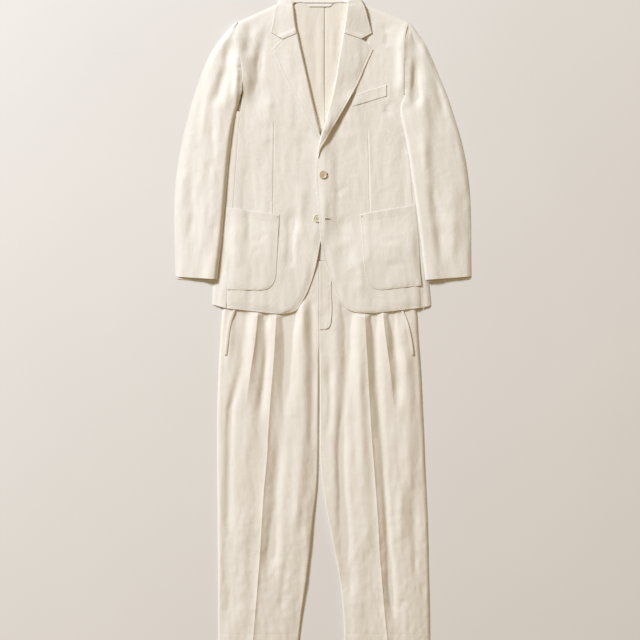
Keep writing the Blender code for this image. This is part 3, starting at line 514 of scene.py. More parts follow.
trouserLook = {
    "wall": 0.0009, "bridge": 3, "roll": 0.0085, "rollInside": 0.0030, "slot": "trouser_linen",
    "backInset": 0.0036,            # of the back from the front's edges
    "crotch": -0.0800,              # height where the inner edges part
    "open": 0.0070,                 # air between the front and the back of a leg
    "openInside": 0.0026,           # the same where the jacket lies on them
    "creaseRise": 0.0068, "creaseLow": 0.0036, "pleatRise": 0.0058,
    "hemDent": 0.0003,
    "wrinkle": 1.45, "fold": {"left": 3.9, "right": 3.2}, "seed": {"left": 40, "right": 60},
    "hemLine": 0.044,               # from the hem to its stitching
    # the jacket's lower edge, below which the folds stand up
    "coverEdge": (
        (-277.5, 40), (-242.5, 30.5), (-100, 14), (-67.5, 25), (-49, 51.5), (45, 46), (70, 24), (107.5, 16),
        (246, 31.5), (270.5, 37.5),
    ),
    # height, then x of the side edge, the outer pleat, the crease and the inner edge
    "sections": {
        "left": (
            (148.4, 210, 142.5, 97.5, -9.7), (88.7, 222.5, 146.2, 101.3, -9.7), (21.3, 235, 150, 104.5, -9.7),
            (-48.8, 239.5, 157.5, 108, -9.7), (-123.7, 245, 168, 112.5, -9), (-198.8, 248.7, 176, 116.3, -8),
            (-273.7, 252.5, 182, 120.8, -8), (-348.8, 255, 187, 126.3, -7.5), (-423.8, 258.7, 192, 132, 0),
            (-498.8, 262, 196, 137.5, 12.5), (-573.7, 264, 200, 141.3, 27), (-648.8, 265.5, 204, 147, 41.5),
            (-723.8, 267.5, 208, 153.3, 49.5), (-828, 268.3, 213, 163.8, 55),
        ),
        "right": (
            (148.4, -217.5, -152.5, -105, -10), (88.7, -233.8, -157.5, -111.3, -10),
            (21.3, -252, -162.5, -116.3, -10), (-48.8, -257.5, -168.8, -120, -10),
            (-123.7, -261.7, -180, -125, -10.6), (-198.8, -264.5, -190, -131.3, -11.2),
            (-273.7, -265.5, -197, -136.3, -11.7), (-348.8, -265.5, -202, -140.5, -12.5),
            (-423.8, -265, -205, -147.5, -16), (-498.8, -264.2, -207.5, -152.5, -25),
            (-573.7, -263.7, -210, -156.7, -32), (-648.8, -263.5, -212.5, -162.5, -40.8),
            (-723.8, -263.5, -215, -168.5, -51.7), (-828, -263, -219, -177.5, -63.8),
        ),
    },
    "folds": {
        "left": (
            ((124.5, 85, 127, 6.3, 134.5, -161.3, 147, -298.8, 154.5, -423.8, 164.5, -586.3, 177, -768.8), 10, -1.7),
            ((58.7, 85, 59.7, 26.2, 62.2, -73.7, 57.2, -148.7, 47.2, -248.7, 44.7, -348.8, 49.7, -448.7, 59.7,
             -598.8, 72.2, -708.7), 13.8, -2.2),
            ((89.2, 85, 90, -3.7, 92.5, -198.8, 102.5, -398.7, 112.5, -598.8), 15, 1.2),
            ((166.4, 85, 172.4, 6.3, 179.8, -61.2, 184.8, -148.7, 187.3, -233.8), 10.5, -1.6),
            ((207.5, -48.8, 212.5, -248.7, 222.5, -448.7), 15, 0.9),
            ((222.8, -273.7, 227.8, -498.8, 232.8, -698.7), 11.2, -0.8), ((191.3, -373.8, 196.3, -598.8), 12.5, 0.6),
            ((16.2, -78.8, 18.7, -198.8, 13.7, -298.8), 8.8, -0.9), ((187.8, -728.8, 202.8, -693.7), 7.5, -0.3),
        ),
        "right": (
            ((-81.2, 85, -83.8, 6.3, -88.8, -98.8, -96.3, -198.8, -106.3, -298.8, -116.3, -398.7, -123.8, -523.8,
             -133.7, -648.8), 17, -2.2),
            ((-142.6, 85, -142.6, 6.3, -142.6, -98.8, -152.7, -203.8, -156, -275), 10.5, -1.9),
            ((-185.7, 85, -191.6, 6.3, -204.1, -111.3, -231.6, -223.8, -236.6, -448.7, -236.6, -623.8, -231.6,
             -788.8), 12, -1.6),
            ((-169.3, 85, -173.7, -23.8, -183.7, -198.8, -191.3, -373.8), 12.5, 0.8),
            ((-53.6, 85, -52.5, -3.7, -50, -148.7, -55, -348.8, -72.5, -548.7), 16.3, 1.3),
            ((-28, 85, -28, -23.8, -28, -198.8, -30.5, -348.8), 10, -0.9),
            ((-34.7, -398.7, -42.2, -598.8, -54.7, -761.2), 11.2, 0.9),
            ((-195, -448.7, -197.5, -648.8, -197.5, -788.8), 15, 0.7),
            ((-90.5, -598.8, -100.5, -673.7, -110.5, -748.8), 10, -0.7),
            ((-222.1, 85, -229.7, -23.8, -242.2, -148.7), 7.5, 0.8),
        ),
    },
}
waistLook = {
    "wall": 0.0011, "bridge": 3, "slot": "trouser_linen",
    "middleX": -0.0098, "seamY": 0.1487, "topY": 0.1875,
}


def legRows(side, extra=()):
    # x and y of the leg's four lines, by height
    rows = metres(trouserLook["sections"][side])
    length = rows[0, 0] - rows[-1, 0]
    down = marksAlong(length, 0.003, endMarks, endMarks, extra)
    x = curveThrough(-rows[:, 0], rows[:, 1:], down - rows[0, 0])
    return np.stack([x, np.repeat((rows[0, 0] - down)[:, None], 4, axis=1)], axis=2)


def trouserBack(side):
    # a flat panel, set in from the front's edges
    rows = legRows(side)[:, [0, 3]]
    rows = np.concatenate([rows[:-1:3], rows[-1:]])
    across = rows[:, 1] - rows[:, 0]
    across /= np.linalg.norm(across, axis=1, keepdims=True)
    crotch = trouserLook["crotch"]
    parted = 0.02 + 0.98 * smoothStep(crotch + 0.02, crotch - 0.03, rows[:, 1, 1])
    rows[:, 0] += across * trouserLook["backInset"]
    rows[:, 1] -= across * (trouserLook["backInset"] * parted)[:, None]
    net = netOf(rows, 0.008, ((0.001,), (0.001,)))
    return layCloth(f"trouser_back_{side}", net, backMap, trouserLook, np.zeros(net["across"].shape),
                    trouserLinen, restsOn=["jacket_back_left_cloth"])


def creaseRise(away, rise, dip, width):
    # a sharp crest with a gentle side towards -X, and a steeper side and a shallow trough towards +X
    crest = np.where(away < 0, np.exp(-np.abs(away) / (1.5 * width)), np.exp(-np.abs(away) / width))
    return rise * crest - dip * bell(away - 2 * width, 1.3 * width)


def coverAt(x):
    # height of the jacket's lower edge at x
    edge = metres(trouserLook["coverEdge"])
    return np.interp(x, edge[:, 0], edge[:, 1])


def trouserFront(side, heights):
    # air, a crest along the crease and the outer pleat, soft folds and small creases, all of them full only below
    # the jacket's hem; a groove along the hem stitching
    sign = sideSign[side]
    hem = trouserLook["hemLine"]
    top, foot = metres(trouserLook["sections"][side])[[0, -1], 0]
    hemMarks = [top - foot - hem + off for off in (-0.0015, 0, 0.0015)]
    net = netOf(legRows(side, hemMarks), 0.0031, (rollMarks, lineMarks, lineMarks, rollMarks))
    x, y = net["xy"][..., 0], net["xy"][..., 1]
    lines, across = net["lines"], net["across"]
    pleat = sign * (lines[:, 1:2] - across)
    crease = sign * (lines[:, 2:3] - across)
    past = y - coverAt(x)
    clear = smoothStep(0.003, -0.012, past)
    shown = smoothStep(0.003, -0.010, past)
    low = smoothStep(-0.25, -0.60, y)
    width = lines[:, -1:]
    thin = 0.42 + 0.58 * smoothStep(0, 0.040, np.minimum(across, width - across))
    outside = smoothStep(0.002, -0.060, past)
    lift = trouserLook["openInside"] + (trouserLook["open"] * thin - trouserLook["openInside"]) * outside
    high = smoothStep(-0.35, 0.0, y)
    rise = trouserLook["creaseLow"] + (trouserLook["creaseRise"] - trouserLook["creaseLow"]) * high
    lift = lift + creaseRise(crease, rise, 0.0012 * high, 0.0050 + 0.0095 * high) * (0.25 + 0.75 * shown)
    short = smoothStep(-0.27, -0.04, y) * (0.25 + 0.75 * shown)
    lift += creaseRise(pleat, trouserLook["pleatRise"], 0.0010, 0.0095) * short
    lift += trouserLook["fold"][side] * foldField(x, y, trouserLook["folds"][side]) * clear
    creases = wrinkles(x, y, trouserLook["seed"][side], trouserLook["wrinkle"], -0.05 * sign)
    lift += creases * (0.3 + 0.7 * clear)
    lift += low * (0.0004 * softNoise(x, y, 0.009, 0.021, 75) + 0.0003 * softNoise(x, y, 0.015, 0.013, 76, 0.4))
    fromHem = fromEdge(net["xy"], "end")
    lift += 0.0004 * softNoise(x, y, 0.011, 0.020, 71) * bell(fromHem - 0.012, 0.016)
    lift = np.maximum(lift, 0.0003) * (0.35 + 0.65 * roundOff(fromHem, 0.02))
    dent = trouserLook["hemDent"] * bell(fromHem - hem, 0.0011)
    crotch = trouserLook["crotch"]
    inner = smoothStep(crotch + 0.025, crotch - 0.035, net["xy"][:, -1:, 1])
    folded = (("first", 1.0, trouserLook["roll"]), ("last", inner, trouserLook["rollInside"]))
    return layCloth(f"trouser_front_{side}", net, heights, trouserLook, lift, trouserLinen, ground=backMap,
                    folded=folded, dent=dent, restsOn=[f"trouser_back_{side}_cloth"])


def waistband(name, xFrom, xTo, heights, restsOn):
    # flat, with a hardly uneven lift
    low, high = waistLook["seamY"] + 0.0003, waistLook["topY"]
    rows = rowsOf(((xFrom, high, xTo, high), (xFrom, low, xTo, low)), 0.004, endMarks[:4], endMarks[:4])
    net = netOf(rows, 0.005, (endMarks[:4], endMarks[:4]))
    lift = 0.0002 + 0.0001 * softNoise(net["xy"][..., 0], net["xy"][..., 1], 0.03, 0.02, 31)
    return layCloth(name, net, heights, waistLook, lift, trouserLinen, restsOn=restsOn)


trouserBacks = [trouserBack(side) for side in sideSign]
bandLeft, bandRight = (metres(trouserLook["sections"][side])[0, 1] for side in sideSign)
bandInset, bandMiddle = trouserLook["backInset"], waistLook["middleX"]
trouserBacks.append(waistband("waistband_back", bandRight + bandInset, bandLeft - bandInset, backMap,
                              ["jacket_back_left_cloth"]))
overBacks = pressed(backMap, *trouserBacks)
trouserFronts = [trouserFront(side, overBacks) for side in sideSign]
bandEnds = {"left": (bandMiddle + halfSeam, bandLeft), "right": (bandRight, bandMiddle - halfSeam)}
for bandSide, ends in bandEnds.items():
    trouserFronts.append(waistband(f"waistband_{bandSide}", *ends, overBacks, ["waistband_back_cloth"]))
overFronts = pressed(overBacks, *trouserFronts)

flyLook = {
    "sewnDown": True, "wall": 0.0007, "bridge": 2, "slot": "trouser_linen",
    "width": 0.030, "lowY": -0.0230, "corner": 0.012,
    "stitch": 0.0052,               # from the edge to the stitching
}


def fly():
    # a strip beside the centre front; its lower outer corner is cut round. A low bell along its inner edge, an
    # uneven one at the outer edge, small creases, and a groove along the stitching
    inner = waistLook["middleX"] + 0.0006
    outer, low, corner = inner + flyLook["width"], flyLook["lowY"], flyLook["corner"]
    top = waistLook["seamY"] - 0.0003
    upper = 0.4 * low + 0.6 * top
    rows = rowsOf(((inner, top, outer, top), (inner, upper, outer, upper),
                   (inner, low + 1.6 * corner, outer, low + 2.2 * corner),
                   (inner, low + 0.8 * corner, outer - 0.0020, low + 1.1 * corner),
                   (inner, low + 0.3 * corner, outer - 0.0075, low + 0.38 * corner),
                   (inner, low, outer - 0.0150, low + 0.0002)), 0.0022, endMarks[:3], endMarks[:5])
    net = netOf(rows, 0.0025, (beadMarks[:6], beadMarks[:6]))
    x, y = net["xy"][..., 0], net["xy"][..., 1]
    side = fromEdge(net["xy"], "last")
    lift = 0.0004 + 0.0007 * bell(fromEdge(net["xy"], "first"), 0.006)
    lift += 0.0005 * softNoise(x, y, 0.012, 0.009, 83) * bell(side - 0.004, 0.008) + wrinkles(x, y, 84, 0.25)
    dent = 0.00045 * bell(side - flyLook["stitch"], 0.0011)
    return layCloth("fly", net, overFronts, flyLook, np.maximum(lift, 0.0002), trouserLinen, dent=dent,
                    restsOn=["trouser_front_left_cloth"])


mouthLook = {
    "sewnDown": True, "wall": 0.0012, "bridge": 2, "slot": "trouser_linen",
    "width": 0.007, "rise": 0.0013,
    "lines": {
        "left": ((185, 88.7), (202.5, 21.3), (212, -3.7), (218, -26.2), (224.2, -61.2), (227.5, -86.3)),
        "right": (
            (-207.5, 88.7), (-226.3, 23.8), (-235, -3.7), (-239.5, -26.2), (-243.7, -61.2), (-247.5, -86.3),
        ),
    },
}


def pocketMouth(side):
    # it rises with the square of the distance across
    line = metres(mouthLook["lines"][side])
    inner = line - np.array((sideSign[side] * mouthLook["width"], 0.0))
    rows = rowsOf(np.hstack([inner, line]), 0.0025, endMarks[:3], endMarks[:3])
    net = netOf(rows, 0.0012, ((0.0006,), endMarks[:4]))
    x, y = net["xy"][..., 0], net["xy"][..., 1]
    lift = 0.0001 + mouthLook["rise"] * (net["across"] / mouthLook["width"]) ** 2 * smoothStep(-0.090, -0.070, y)
    lift += 0.0002 * softNoise(x, y, 0.01, 0.012, 91)
    return layCloth(f"pocket_mouth_{side}", net, overFronts, mouthLook, lift, trouserLinen,
                    restsOn=[f"trouser_front_{side}_cloth"])


overTrousers = pressed(overFronts, fly(), *[pocketMouth(side) for side in sideSign])
print("trousers laid")

# jacket fronts and sides

bodyLook = {
    "wall": 0.0010, "bridge": 6, "bridgeDown": 16, "roll": 0.0130, "slot": "jacket_linen",
    "open": 0.0030,                 # air below the fronts
    "edgeOpen": 0.0009,             # and below their free edges
    # height and width of the ridge along the armhole
    "armRidge": {"left": (0.0074, 0.018), "right": (0.0112, 0.030)},
    "wrinkle": 1.15, "fold": {"left": 2.3, "right": 2.3}, "seed": {"left": 120, "right": 140},
    "stitch": 0.0055,               # from the edges to the stitching
    "chest": {
        "left": (
            (72, 804, 215, 746), (63.5, 781, 207, 716), (58.5, 739, 205, 671), (48.5, 684, 204, 621),
            (37, 614, 204, 564),
        ),
        "right": (
            (-90, 804, -214, 747.5), (-77, 781, -220, 719), (-72.5, 739, -212.5, 681), (-60, 684, -204, 631),
            (-44.5, 614, -201.5, 576),
        ),
    },
    "skirt": {
        "left": (
            (24.5, 551, 209, 514, 242.5, 536), (9, 491, 212, 464, 247.5, 469), (-9.5, 431, 215, 409, 249, 409),
            (-18.5, 376.5, 220, 356, 250, 356), (-16, 314, 225, 301, 252.5, 301), (-10, 251.5, 230, 246, 255, 246),
            (-5.5, 196, 235, 194, 259, 194), (5, 146, 239, 146, 262, 146), (24, 91, 242.5, 96, 266, 94),
            (45, 46, 244.5, 61, 269, 61), (70, 24, 245.5, 44, 270.5, 46), (107.5, 16, 246, 31.5, 271, 37.5),
        ),
        "right": (
            (-30, 551, -206.5, 521, -242.5, 536), (-17, 491, -212.5, 469, -247.5, 469),
            (-4.5, 436, -216, 414, -251.5, 414), (15, 376.5, -220, 356, -255, 356), (19, 314, -224, 301, -259, 301),
            (10, 251.5, -227.5, 246, -262.5, 246), (-6.5, 194, -232.5, 194, -267, 194),
            (-15.5, 146, -235, 146, -270, 146), (-31, 91, -239, 96, -275, 94), (-49, 51.5, -241, 61, -276.5, 61),
            (-67.5, 25, -241.5, 44, -277, 47.5), (-100, 14, -242.5, 30.5, -277.5, 40),
        ),
    },
    # where the end of the inner facing shows through
    "facingEnds": {
        "left": ((121.3, 35), (121.3, 52.5), (157.5, 54)),
        "right": ((-145, 52), (-132.5, 52), (-132.5, 28)),
    },
    "darts": {
        "left": ((112.5, 476), (115, 401), (117.5, 266)),
        "right": ((-122.5, 501), (-124, 400), (-125, 264)),
    },
    "folds": {
        "left": (
            ((157.8, 751.2, 160.3, 681.3), 11.2, -1), ((192.8, 728.8, 195.3, 543.8), 11.2, 1.2),
            ((162, 551.3, 162, 506.2), 10, -0.9), ((77.5, 576.3, 65, 426.3), 17.5, 0.9),
            ((52.5, 263.7, 47.5, 201.3, 67.5, 126.3), 17.5, -1.3), ((167.5, 226.3, 172.5, 138.8), 15, 0.9),
            ((202.5, 501.2, 207.5, 351.3), 15, -0.8), ((31.2, 313.8, 61.2, 338.7), 8.8, -0.6),
            ((93.8, 163.8, 91.2, 51.3), 12.5, 0.7),
        ),
        "right": (
            ((-176.9, 756.2, -186.9, 701.3, -190.7, 656.2), 12, -1),
            ((-156.2, 746.2, -168.7, 681.3, -181.2, 631.2), 12, 0.7),
            ((-132.7, 756.2, -152.7, 678.7, -172.6, 563.7, -175.2, 481.3), 14, -1.1),
            ((-132.5, 576.3, -142.5, 426.3), 15, 0.9), ((-164, 710, -162, 640, -162, 576.3, -170, 506.3), 19, -1.1),
            ((-185.3, 426.3, -187.8, 301.3, -185.3, 146.2), 13.8, -1.5), ((-209.7, 288.8, -212.2, 88.7), 11.2, 1.1),
            ((-72.2, 288.8, -79.7, 201.3, -84.7, 121.2), 11.2, -1.6), ((-50, 351.3, -55, 176.2), 15, 0.9),
            ((-35, 501.2, -47.5, 401.2), 15, -0.7), ((-172.9, 186.2, -147.9, 201.3, -128, 213.7), 6.5, -0.7),
            ((-188, 141.3, -167.9, 161.3, -147.9, 178.7), 6.5, -0.6),
        ),
    },
}


def bodyRows(side):
    # rows of half the body, above the armpit and below it
    chest, skirt = metres(bodyLook["chest"][side]), metres(bodyLook["skirt"][side])
    above = rowsOf(np.vstack([chest, skirt[:1, :4]]), 0.003, endMarks)[:-1]
    below = rowsOf(skirt, 0.003, (), endMarks)
    return above, below


def bodyLift(side, x, y):
    # air, soft folds and small creases
    folds = bodyLook["fold"][side] * foldField(x, y, bodyLook["folds"][side])
    return bodyLook["open"] + folds + wrinkles(x, y, bodyLook["seed"][side], bodyLook["wrinkle"])


def coveredPart(heights):
    # below the hem the map is made like the cells at the hem, since the jacket doesn't lie there
    step, low = heightMap["step"], heightMap["low"]
    across, up = np.arange(heights.shape[0]), np.arange(heights.shape[1])
    hem = ((coverAt(low[0] + step * (across + 0.5)) + 0.003 - low[1]) / step).astype(int)
    return np.where(up < hem[:, None], heights[across, hem][:, None], heights)


def jacketFront(side, heights):
    # the body's lift, a bell-shaped ridge along the armhole, less at the shoulder seam, a thin wavy gap near the
    # free edges; grooves along dart, facing end, armhole and stitching
    above, below = bodyRows(side)
    rows = np.concatenate([above, below[:, :2]])
    dart = metres(bodyLook["darts"][side])
    dartX = np.interp(-rows[..., 1].mean(axis=1), -dart[:, 1], dart[:, 0])
    share = np.clip((dartX - rows[:, 0, 0]) / (rows[:, 1, 0] - rows[:, 0, 0]), 0.2, 0.8)[:, None]
    rows = np.stack([rows[:, 0], rows[:, 0] * (1 - share) + rows[:, 1] * share, rows[:, 1]], axis=1)
    net = netOf(rows, 0.0031, (beadMarks, lineMarks, lineMarks))
    x, y = net["xy"][..., 0], net["xy"][..., 1]
    y += 0.0024 * bell(x - rows[-1, 0, 0], 0.018) * smoothStep(0.035, 0.0, fromEdge(net["xy"], "end"))
    lift = bodyLift(side, x, y)
    ridge, ridgeWidth = bodyLook["armRidge"][side]
    lift += ridge * bell(fromEdge(net["xy"], "last"), ridgeWidth) * smoothStep(0.535, 0.610, y)
    lift *= 0.25 + 0.75 * smoothStep(0, 0.05, fromEdge(net["xy"], "start"))
    edge = np.minimum(fromEdge(net["xy"], "first"), fromEdge(net["xy"], "end"))
    free = smoothStep(0.45, 0.40, y)
    nearEdge = (1 - smoothStep(0.0, 0.022, edge)) * free
    waves = 0.0005 * softNoise(x, y, 0.035, 0.035, 151)
    lift = lift * (1 - nearEdge) + (bodyLook["edgeOpen"] + waves) * nearEdge
    away = net["across"] - net["lines"][:, 1:2]
    dartTop, dartEnd = dart[[0, -1], 1]
    sewnDart = smoothStep(dartEnd - 0.002, dartEnd + 0.004, y) * smoothStep(dartTop + 0.004, dartTop - 0.02, y)
    lift += 0.0004 * sewnDart * smoothStep(0, 0.0012, away) * smoothStep(0.009, 0.004, away)
    facing, _ = nearPath(x, y, metres(bodyLook["facingEnds"][side]))
    dent = 0.0006 * sewnDart * bell(away, 0.0014) + 0.00035 * bell(facing, 0.0013)
    dent += 0.0004 * bell(fromEdge(net["xy"], "last"), 0.0014)
    dent += 0.0002 * free * bell(edge - bodyLook["stitch"], 0.0014)
    return layCloth(f"jacket_front_{side}", net, heights, bodyLook, np.maximum(lift, 0.0002), jacketLinen,
                    ground=freshMap(), folded=(("start", 1.0, bodyLook["roll"]),), sewn=("last",), dent=dent,
                    restsOn=[f"trouser_front_{side}_cloth", f"jacket_back_{side}_cloth"])


def jacketSide(side, heights):
    # the body's lift, rolled down at the outer edge; a groove along the seam
    rows = bodyRows(side)[1][:, 1:].copy()
    rows[:, 0, 0] += halfSeam * sideSign[side]
    net = netOf(rows, 0.0031, (lineMarks, rollMarks))
    x, y = net["xy"][..., 0], net["xy"][..., 1]
    lift = np.maximum(bodyLift(side, x, y), 0.0002)
    dent = 0.0003 * bell(net["across"], 0.0014)
    return layCloth(f"jacket_side_{side}", net, heights, bodyLook, lift, jacketLinen, ground=freshMap(),
                    folded=(("last", 1.0, bodyLook["roll"]),), sewn=("first",), dent=dent,
                    restsOn=[f"jacket_back_{side}_cloth"])


lapelLook = {
    "wall": 0.0011, "bridge": 3, "roll": 0.0032, "slot": "jacket_linen",
    "open": 0.0010,
    "rise": {"left": 0.0070, "right": 0.0015},      # how far the rolled edge stands up
    "spring": {"left": 0.0062, "right": 0.0012},    # how far the lower half stands off
    "wrinkle": 0.50, "seed": {"left": 170, "right": 180},
    "breakY": {"left": 0.4288, "right": 0.4713},    # height where it turns over
    "stitch": 0.0055, "notchX": 0.098,              # from the edges to the stitching, and where the notch's begins
    "sections": {
        "left": (
            (50, 722.5, 96.3, 706, 125, 677.5), (45, 691.3, 82.5, 676.3, 121.2, 668.8),
            (38.7, 656.2, 75, 646.2, 108.7, 641.2), (30, 601.3, 57.5, 596.3, 87.5, 592.5),
            (21.3, 558.7, 45, 556.3, 67.5, 555), (10, 516.2, 27.5, 516.2, 45, 515),
            (0, 481.3, 12.5, 481.3, 23.8, 478.8), (-7.5, 456.2, 1.5, 453.7, 9.5, 452.5),
            (-13.8, 428.8, -9.5, 428.8, -5.5, 428), (-14.8, 406, -13.2, 406, -11.6, 406),
        ),
        "right": (
            (-63.3, 722.5, -100, 705.5, -128.5, 677.5), (-57.5, 691.3, -90, 676.3, -122.5, 666.3),
            (-50, 658.8, -80, 646.2, -108.7, 637.5), (-38.7, 608.8, -65, 598.8, -87.5, 591.3),
            (-28.8, 563.7, -47.5, 556.3, -65, 550), (-19.2, 521.2, -30, 513.8, -42.5, 508.8),
            (-12.5, 491.3, -20, 486.3, -27.2, 480), (-7.2, 471.3, -13, 466.2, -18.5, 461.7),
            (0.5, 450, -5, 446, -10.5, 442),
        ),
    },
}


def lapel(side, heights, below):
    # air and creases, a bell behind the outer edge of its lower half, a straight rise towards the rolled edge, less
    # at the lower end and the notch; grooves under the stitching
    rows = rowsOf(metres(lapelLook["sections"][side]), 0.0022, endMarks, endMarks[:3])
    net = netOf(rows, 0.0025, (rollMarks, (), beadMarks))
    x, y = net["xy"][..., 0], net["xy"][..., 1]
    edge = fromEdge(net["xy"], "last")
    lift = lapelLook["open"] + wrinkles(x, y, lapelLook["seed"][side], lapelLook["wrinkle"])
    middle = smoothStep(0.440, 0.490, y) * smoothStep(0.610, 0.530, y)
    lift = lift + lapelLook["spring"][side] * middle * bell(edge - 0.004, 0.035)
    outward = fromEdge(net["xy"], "first") / net["lines"][:, -1:]
    lift += lapelLook["rise"][side] * (1 - outward) * smoothStep(0.445, 0.560, y)
    lift += 0.0007 * softNoise(x, y, 0.02, 0.045, 190)
    lift *= smoothStep(-0.002, 0.035, fromEdge(net["xy"], "end"))
    lift *= 1 - 0.75 * bell(edge, 0.014) * smoothStep(0.575, 0.610, y)
    notch = smoothStep(0.094, 0.100, np.abs(x))
    dent = 0.0005 * bell(edge - lapelLook["stitch"], 0.0013)
    dent += 0.0005 * notch * bell(fromEdge(net["xy"], "start") - lapelLook["stitch"], 0.0013)
    dent += 0.0007 * smoothStep(0.030, 0.0, fromEdge(net["xy"], "end"))
    return layCloth(f"lapel_{side}", net, heights, lapelLook, np.maximum(lift, 0.0003), jacketLinen,
                    ground=below, folded=(("first", 1.0, lapelLook["roll"]),), dent=dent,
                    restsOn=[f"jacket_front_{side}_cloth"])


tabMap = pressed(backMap, tabTop)
underJacket = coveredPart(overTrousers)
rightTops = [jacketFront("right", underJacket), jacketSide("right", underJacket)]
bodyMap = pressed(overTrousers, *rightTops)
bodyMap = pressed(bodyMap, lapel("right", bodyMap, overTrousers))

# buttons

buttonLook = {
    "radius": 0.0101, "height": 0.0030,
    "face": 0.68,                   # height of the dished face's middle as a share of the whole
    "upper": (0.0005, 0.3642), "lower": (-0.0142, 0.2555),
    "holes": 0.0021, "holeRadius": 0.0009, "holeDepth": 0.0013,
    "colours": {
        "upper": ((0.50, 0.36, 0.20), (0.80, 0.68, 0.48)),
        "lower": ((0.66, 0.62, 0.42), (0.80, 0.76, 0.58)),
    },
}


def hornMaterial(name, dark, pale):
    # streaks of two tones drawn out in one direction, under a soft polish
    material, connect, make, shader = newMaterial(name)
    place = make("ShaderNodeTexCoord").outputs["Object"]
    drawn = make("ShaderNodeMapping", {"Vector": place, "Scale": (420, 120, 200), "Rotation": (0, 0, 0.6)})
    noise = make("ShaderNodeTexNoise", {"Vector": drawn.outputs[0], "Scale": 1.0, "Detail": 4.0,
                                        "Distortion": 1.2})
    share = make("ShaderNodeMapRange", {"Value": noise.outputs["Fac"], "From Min": 0.35, "From Max": 0.65})
    mix = make("ShaderNodeMix", {0: share.outputs[0], 6: (*dark, 1.0), 7: (*pale, 1.0)}, data_type="RGBA")
    bump = make("ShaderNodeBump", {"Height": noise.outputs["Fac"], "Strength": 0.08, "Distance": 0.0004})
    connect(shader, {"Base Color": mix.outputs[2], "Normal": bump.outputs["Normal"],
                     "Roughness": 0.32, "Coat Weight": 0.15})
    return material


def button(which, heights):
    # a turned disc: a radial profile with a raised rim round a dished face, and four round pits pressed into it
    centre = np.array(buttonLook[which])
    radius, height = buttonLook["radius"], buttonLook["height"]
    low, high = centre - radius, centre + radius
    corner = np.round(mapPlaces(np.stack([low, high]))).astype(int)
    foot = heights[corner[0, 0]:corner[1, 0] + 1, corner[0, 1]:corner[1, 1] + 1].max() + heightMap["gap"]
    profile = np.array(((0.0, 0.0), (0.55, 0.0), (0.86, 0.06), (0.96, 0.22), (1.0, 0.45), (0.985, 0.75),
                        (0.94, 0.93), (0.88, 1.0), (0.81, 0.97), (0.75, 0.84), (0.68, 0.72)))
    face = np.linspace(0.64, 0.0, 26)
    radii = np.concatenate([profile[:, 0], face])[1:-1]
    heightsUp = np.concatenate([profile[:, 1], 0.66 + 0.03 * (0.64 - face)])[1:-1]
    angle = np.linspace(0, 2 * np.pi, 72, endpoint=False)
    x = radius * radii[:, None] * np.cos(angle)
    y = radius * radii[:, None] * np.sin(angle)
    z = foot + height * heightsUp[:, None] + 0 * angle
    for turn in (0.785, 2.356, 3.927, 5.498):
        hole = buttonLook["holes"] * np.array((np.cos(turn), np.sin(turn)))
        inPit = smoothStep(1.25, 0.8, np.hypot(x - hole[0], y - hole[1]) / buttonLook["holeRadius"])
        z = z - np.where(heightsUp[:, None] > 0.5, buttonLook["holeDepth"] * inPit, 0)
    rings, sides = z.shape
    points = np.stack([x + centre[0], y + centre[1], z], axis=-1).reshape(-1, 3)
    faceTop = foot + buttonLook["face"] * height
    points = np.concatenate([points, [[*centre, foot], [*centre, faceTop]]])
    index = np.arange(rings * sides).reshape(rings, sides)
    after = np.roll(index, -1, axis=1)
    quads = np.stack([index[:-1], after[:-1], after[1:], index[1:]], axis=-1).reshape(-1, 4)
    caps = [(rings * sides, after[0, k], index[0, k]) for k in range(sides)]
    caps += [(rings * sides + 1, index[-1, k], after[-1, k]) for k in range(sides)]
    mesh = bpy.data.meshes.new(f"button_{which}_horn")
    mesh.from_pydata(points.tolist(), [], quads.tolist() + [tuple(map(int, cap)) for cap in caps])
    mesh.update()
    mesh.shade_smooth()
    material = hornMaterial(f"horn_{which}", *buttonLook["colours"][which])
    addPiece(f"button_{which}_horn", mesh, material, (f"button_{which}",))
    buttonTops[which] = faceTop
    disc = centre + radius * np.stack([np.cos(angle), np.sin(angle)], axis=1)
    around = np.stack([disc, np.broadcast_to(centre, disc.shape)])
    top = np.full((*around.shape[:2], 1), foot + height)
    return np.concatenate([around, top], axis=2)


bodyMap = pressed(bodyMap, button("lower", bodyMap))
belowLeft = bodyMap
underJacket = coveredPart(bodyMap)
leftTops = [jacketFront("left", underJacket), jacketSide("left", underJacket)]
bodyMap = pressed(bodyMap, *leftTops)

weltLook = {
    "sewnDown": True, "wall": 0.0005, "bridge": 2, "slot": "jacket_linen",
    "stitch": 0.0040,
    "sections": ((72.5, 562.5, 159, 590.5), (72.5, 535, 159, 561.3)),
}


def breastWelt():
    # a low bell at its outer end
    rows = rowsOf(metres(weltLook["sections"]), 0.002, endMarks[:5], endMarks[:5])
    net = netOf(rows, 0.003, (endMarks[:4], endMarks[:5]))
    x, y = net["xy"][..., 0], net["xy"][..., 1]
    lift = 0.0001 + 0.0006 * bell(fromEdge(net["xy"], "last"), 0.006) + 0.0002 * softNoise(x, y, 0.02, 0.02, 201)
    return layCloth("breast_welt", net, bodyMap, weltLook, np.maximum(lift, 0), jacketLinen,
                    restsOn=["jacket_front_left_cloth"])


bodyMap = pressed(bodyMap, breastWelt(), button("upper", bodyMap))
bodyMap = pressed(bodyMap, lapel("left", bodyMap, belowLeft))
print("jacket fronts laid")

# hip pockets and collar

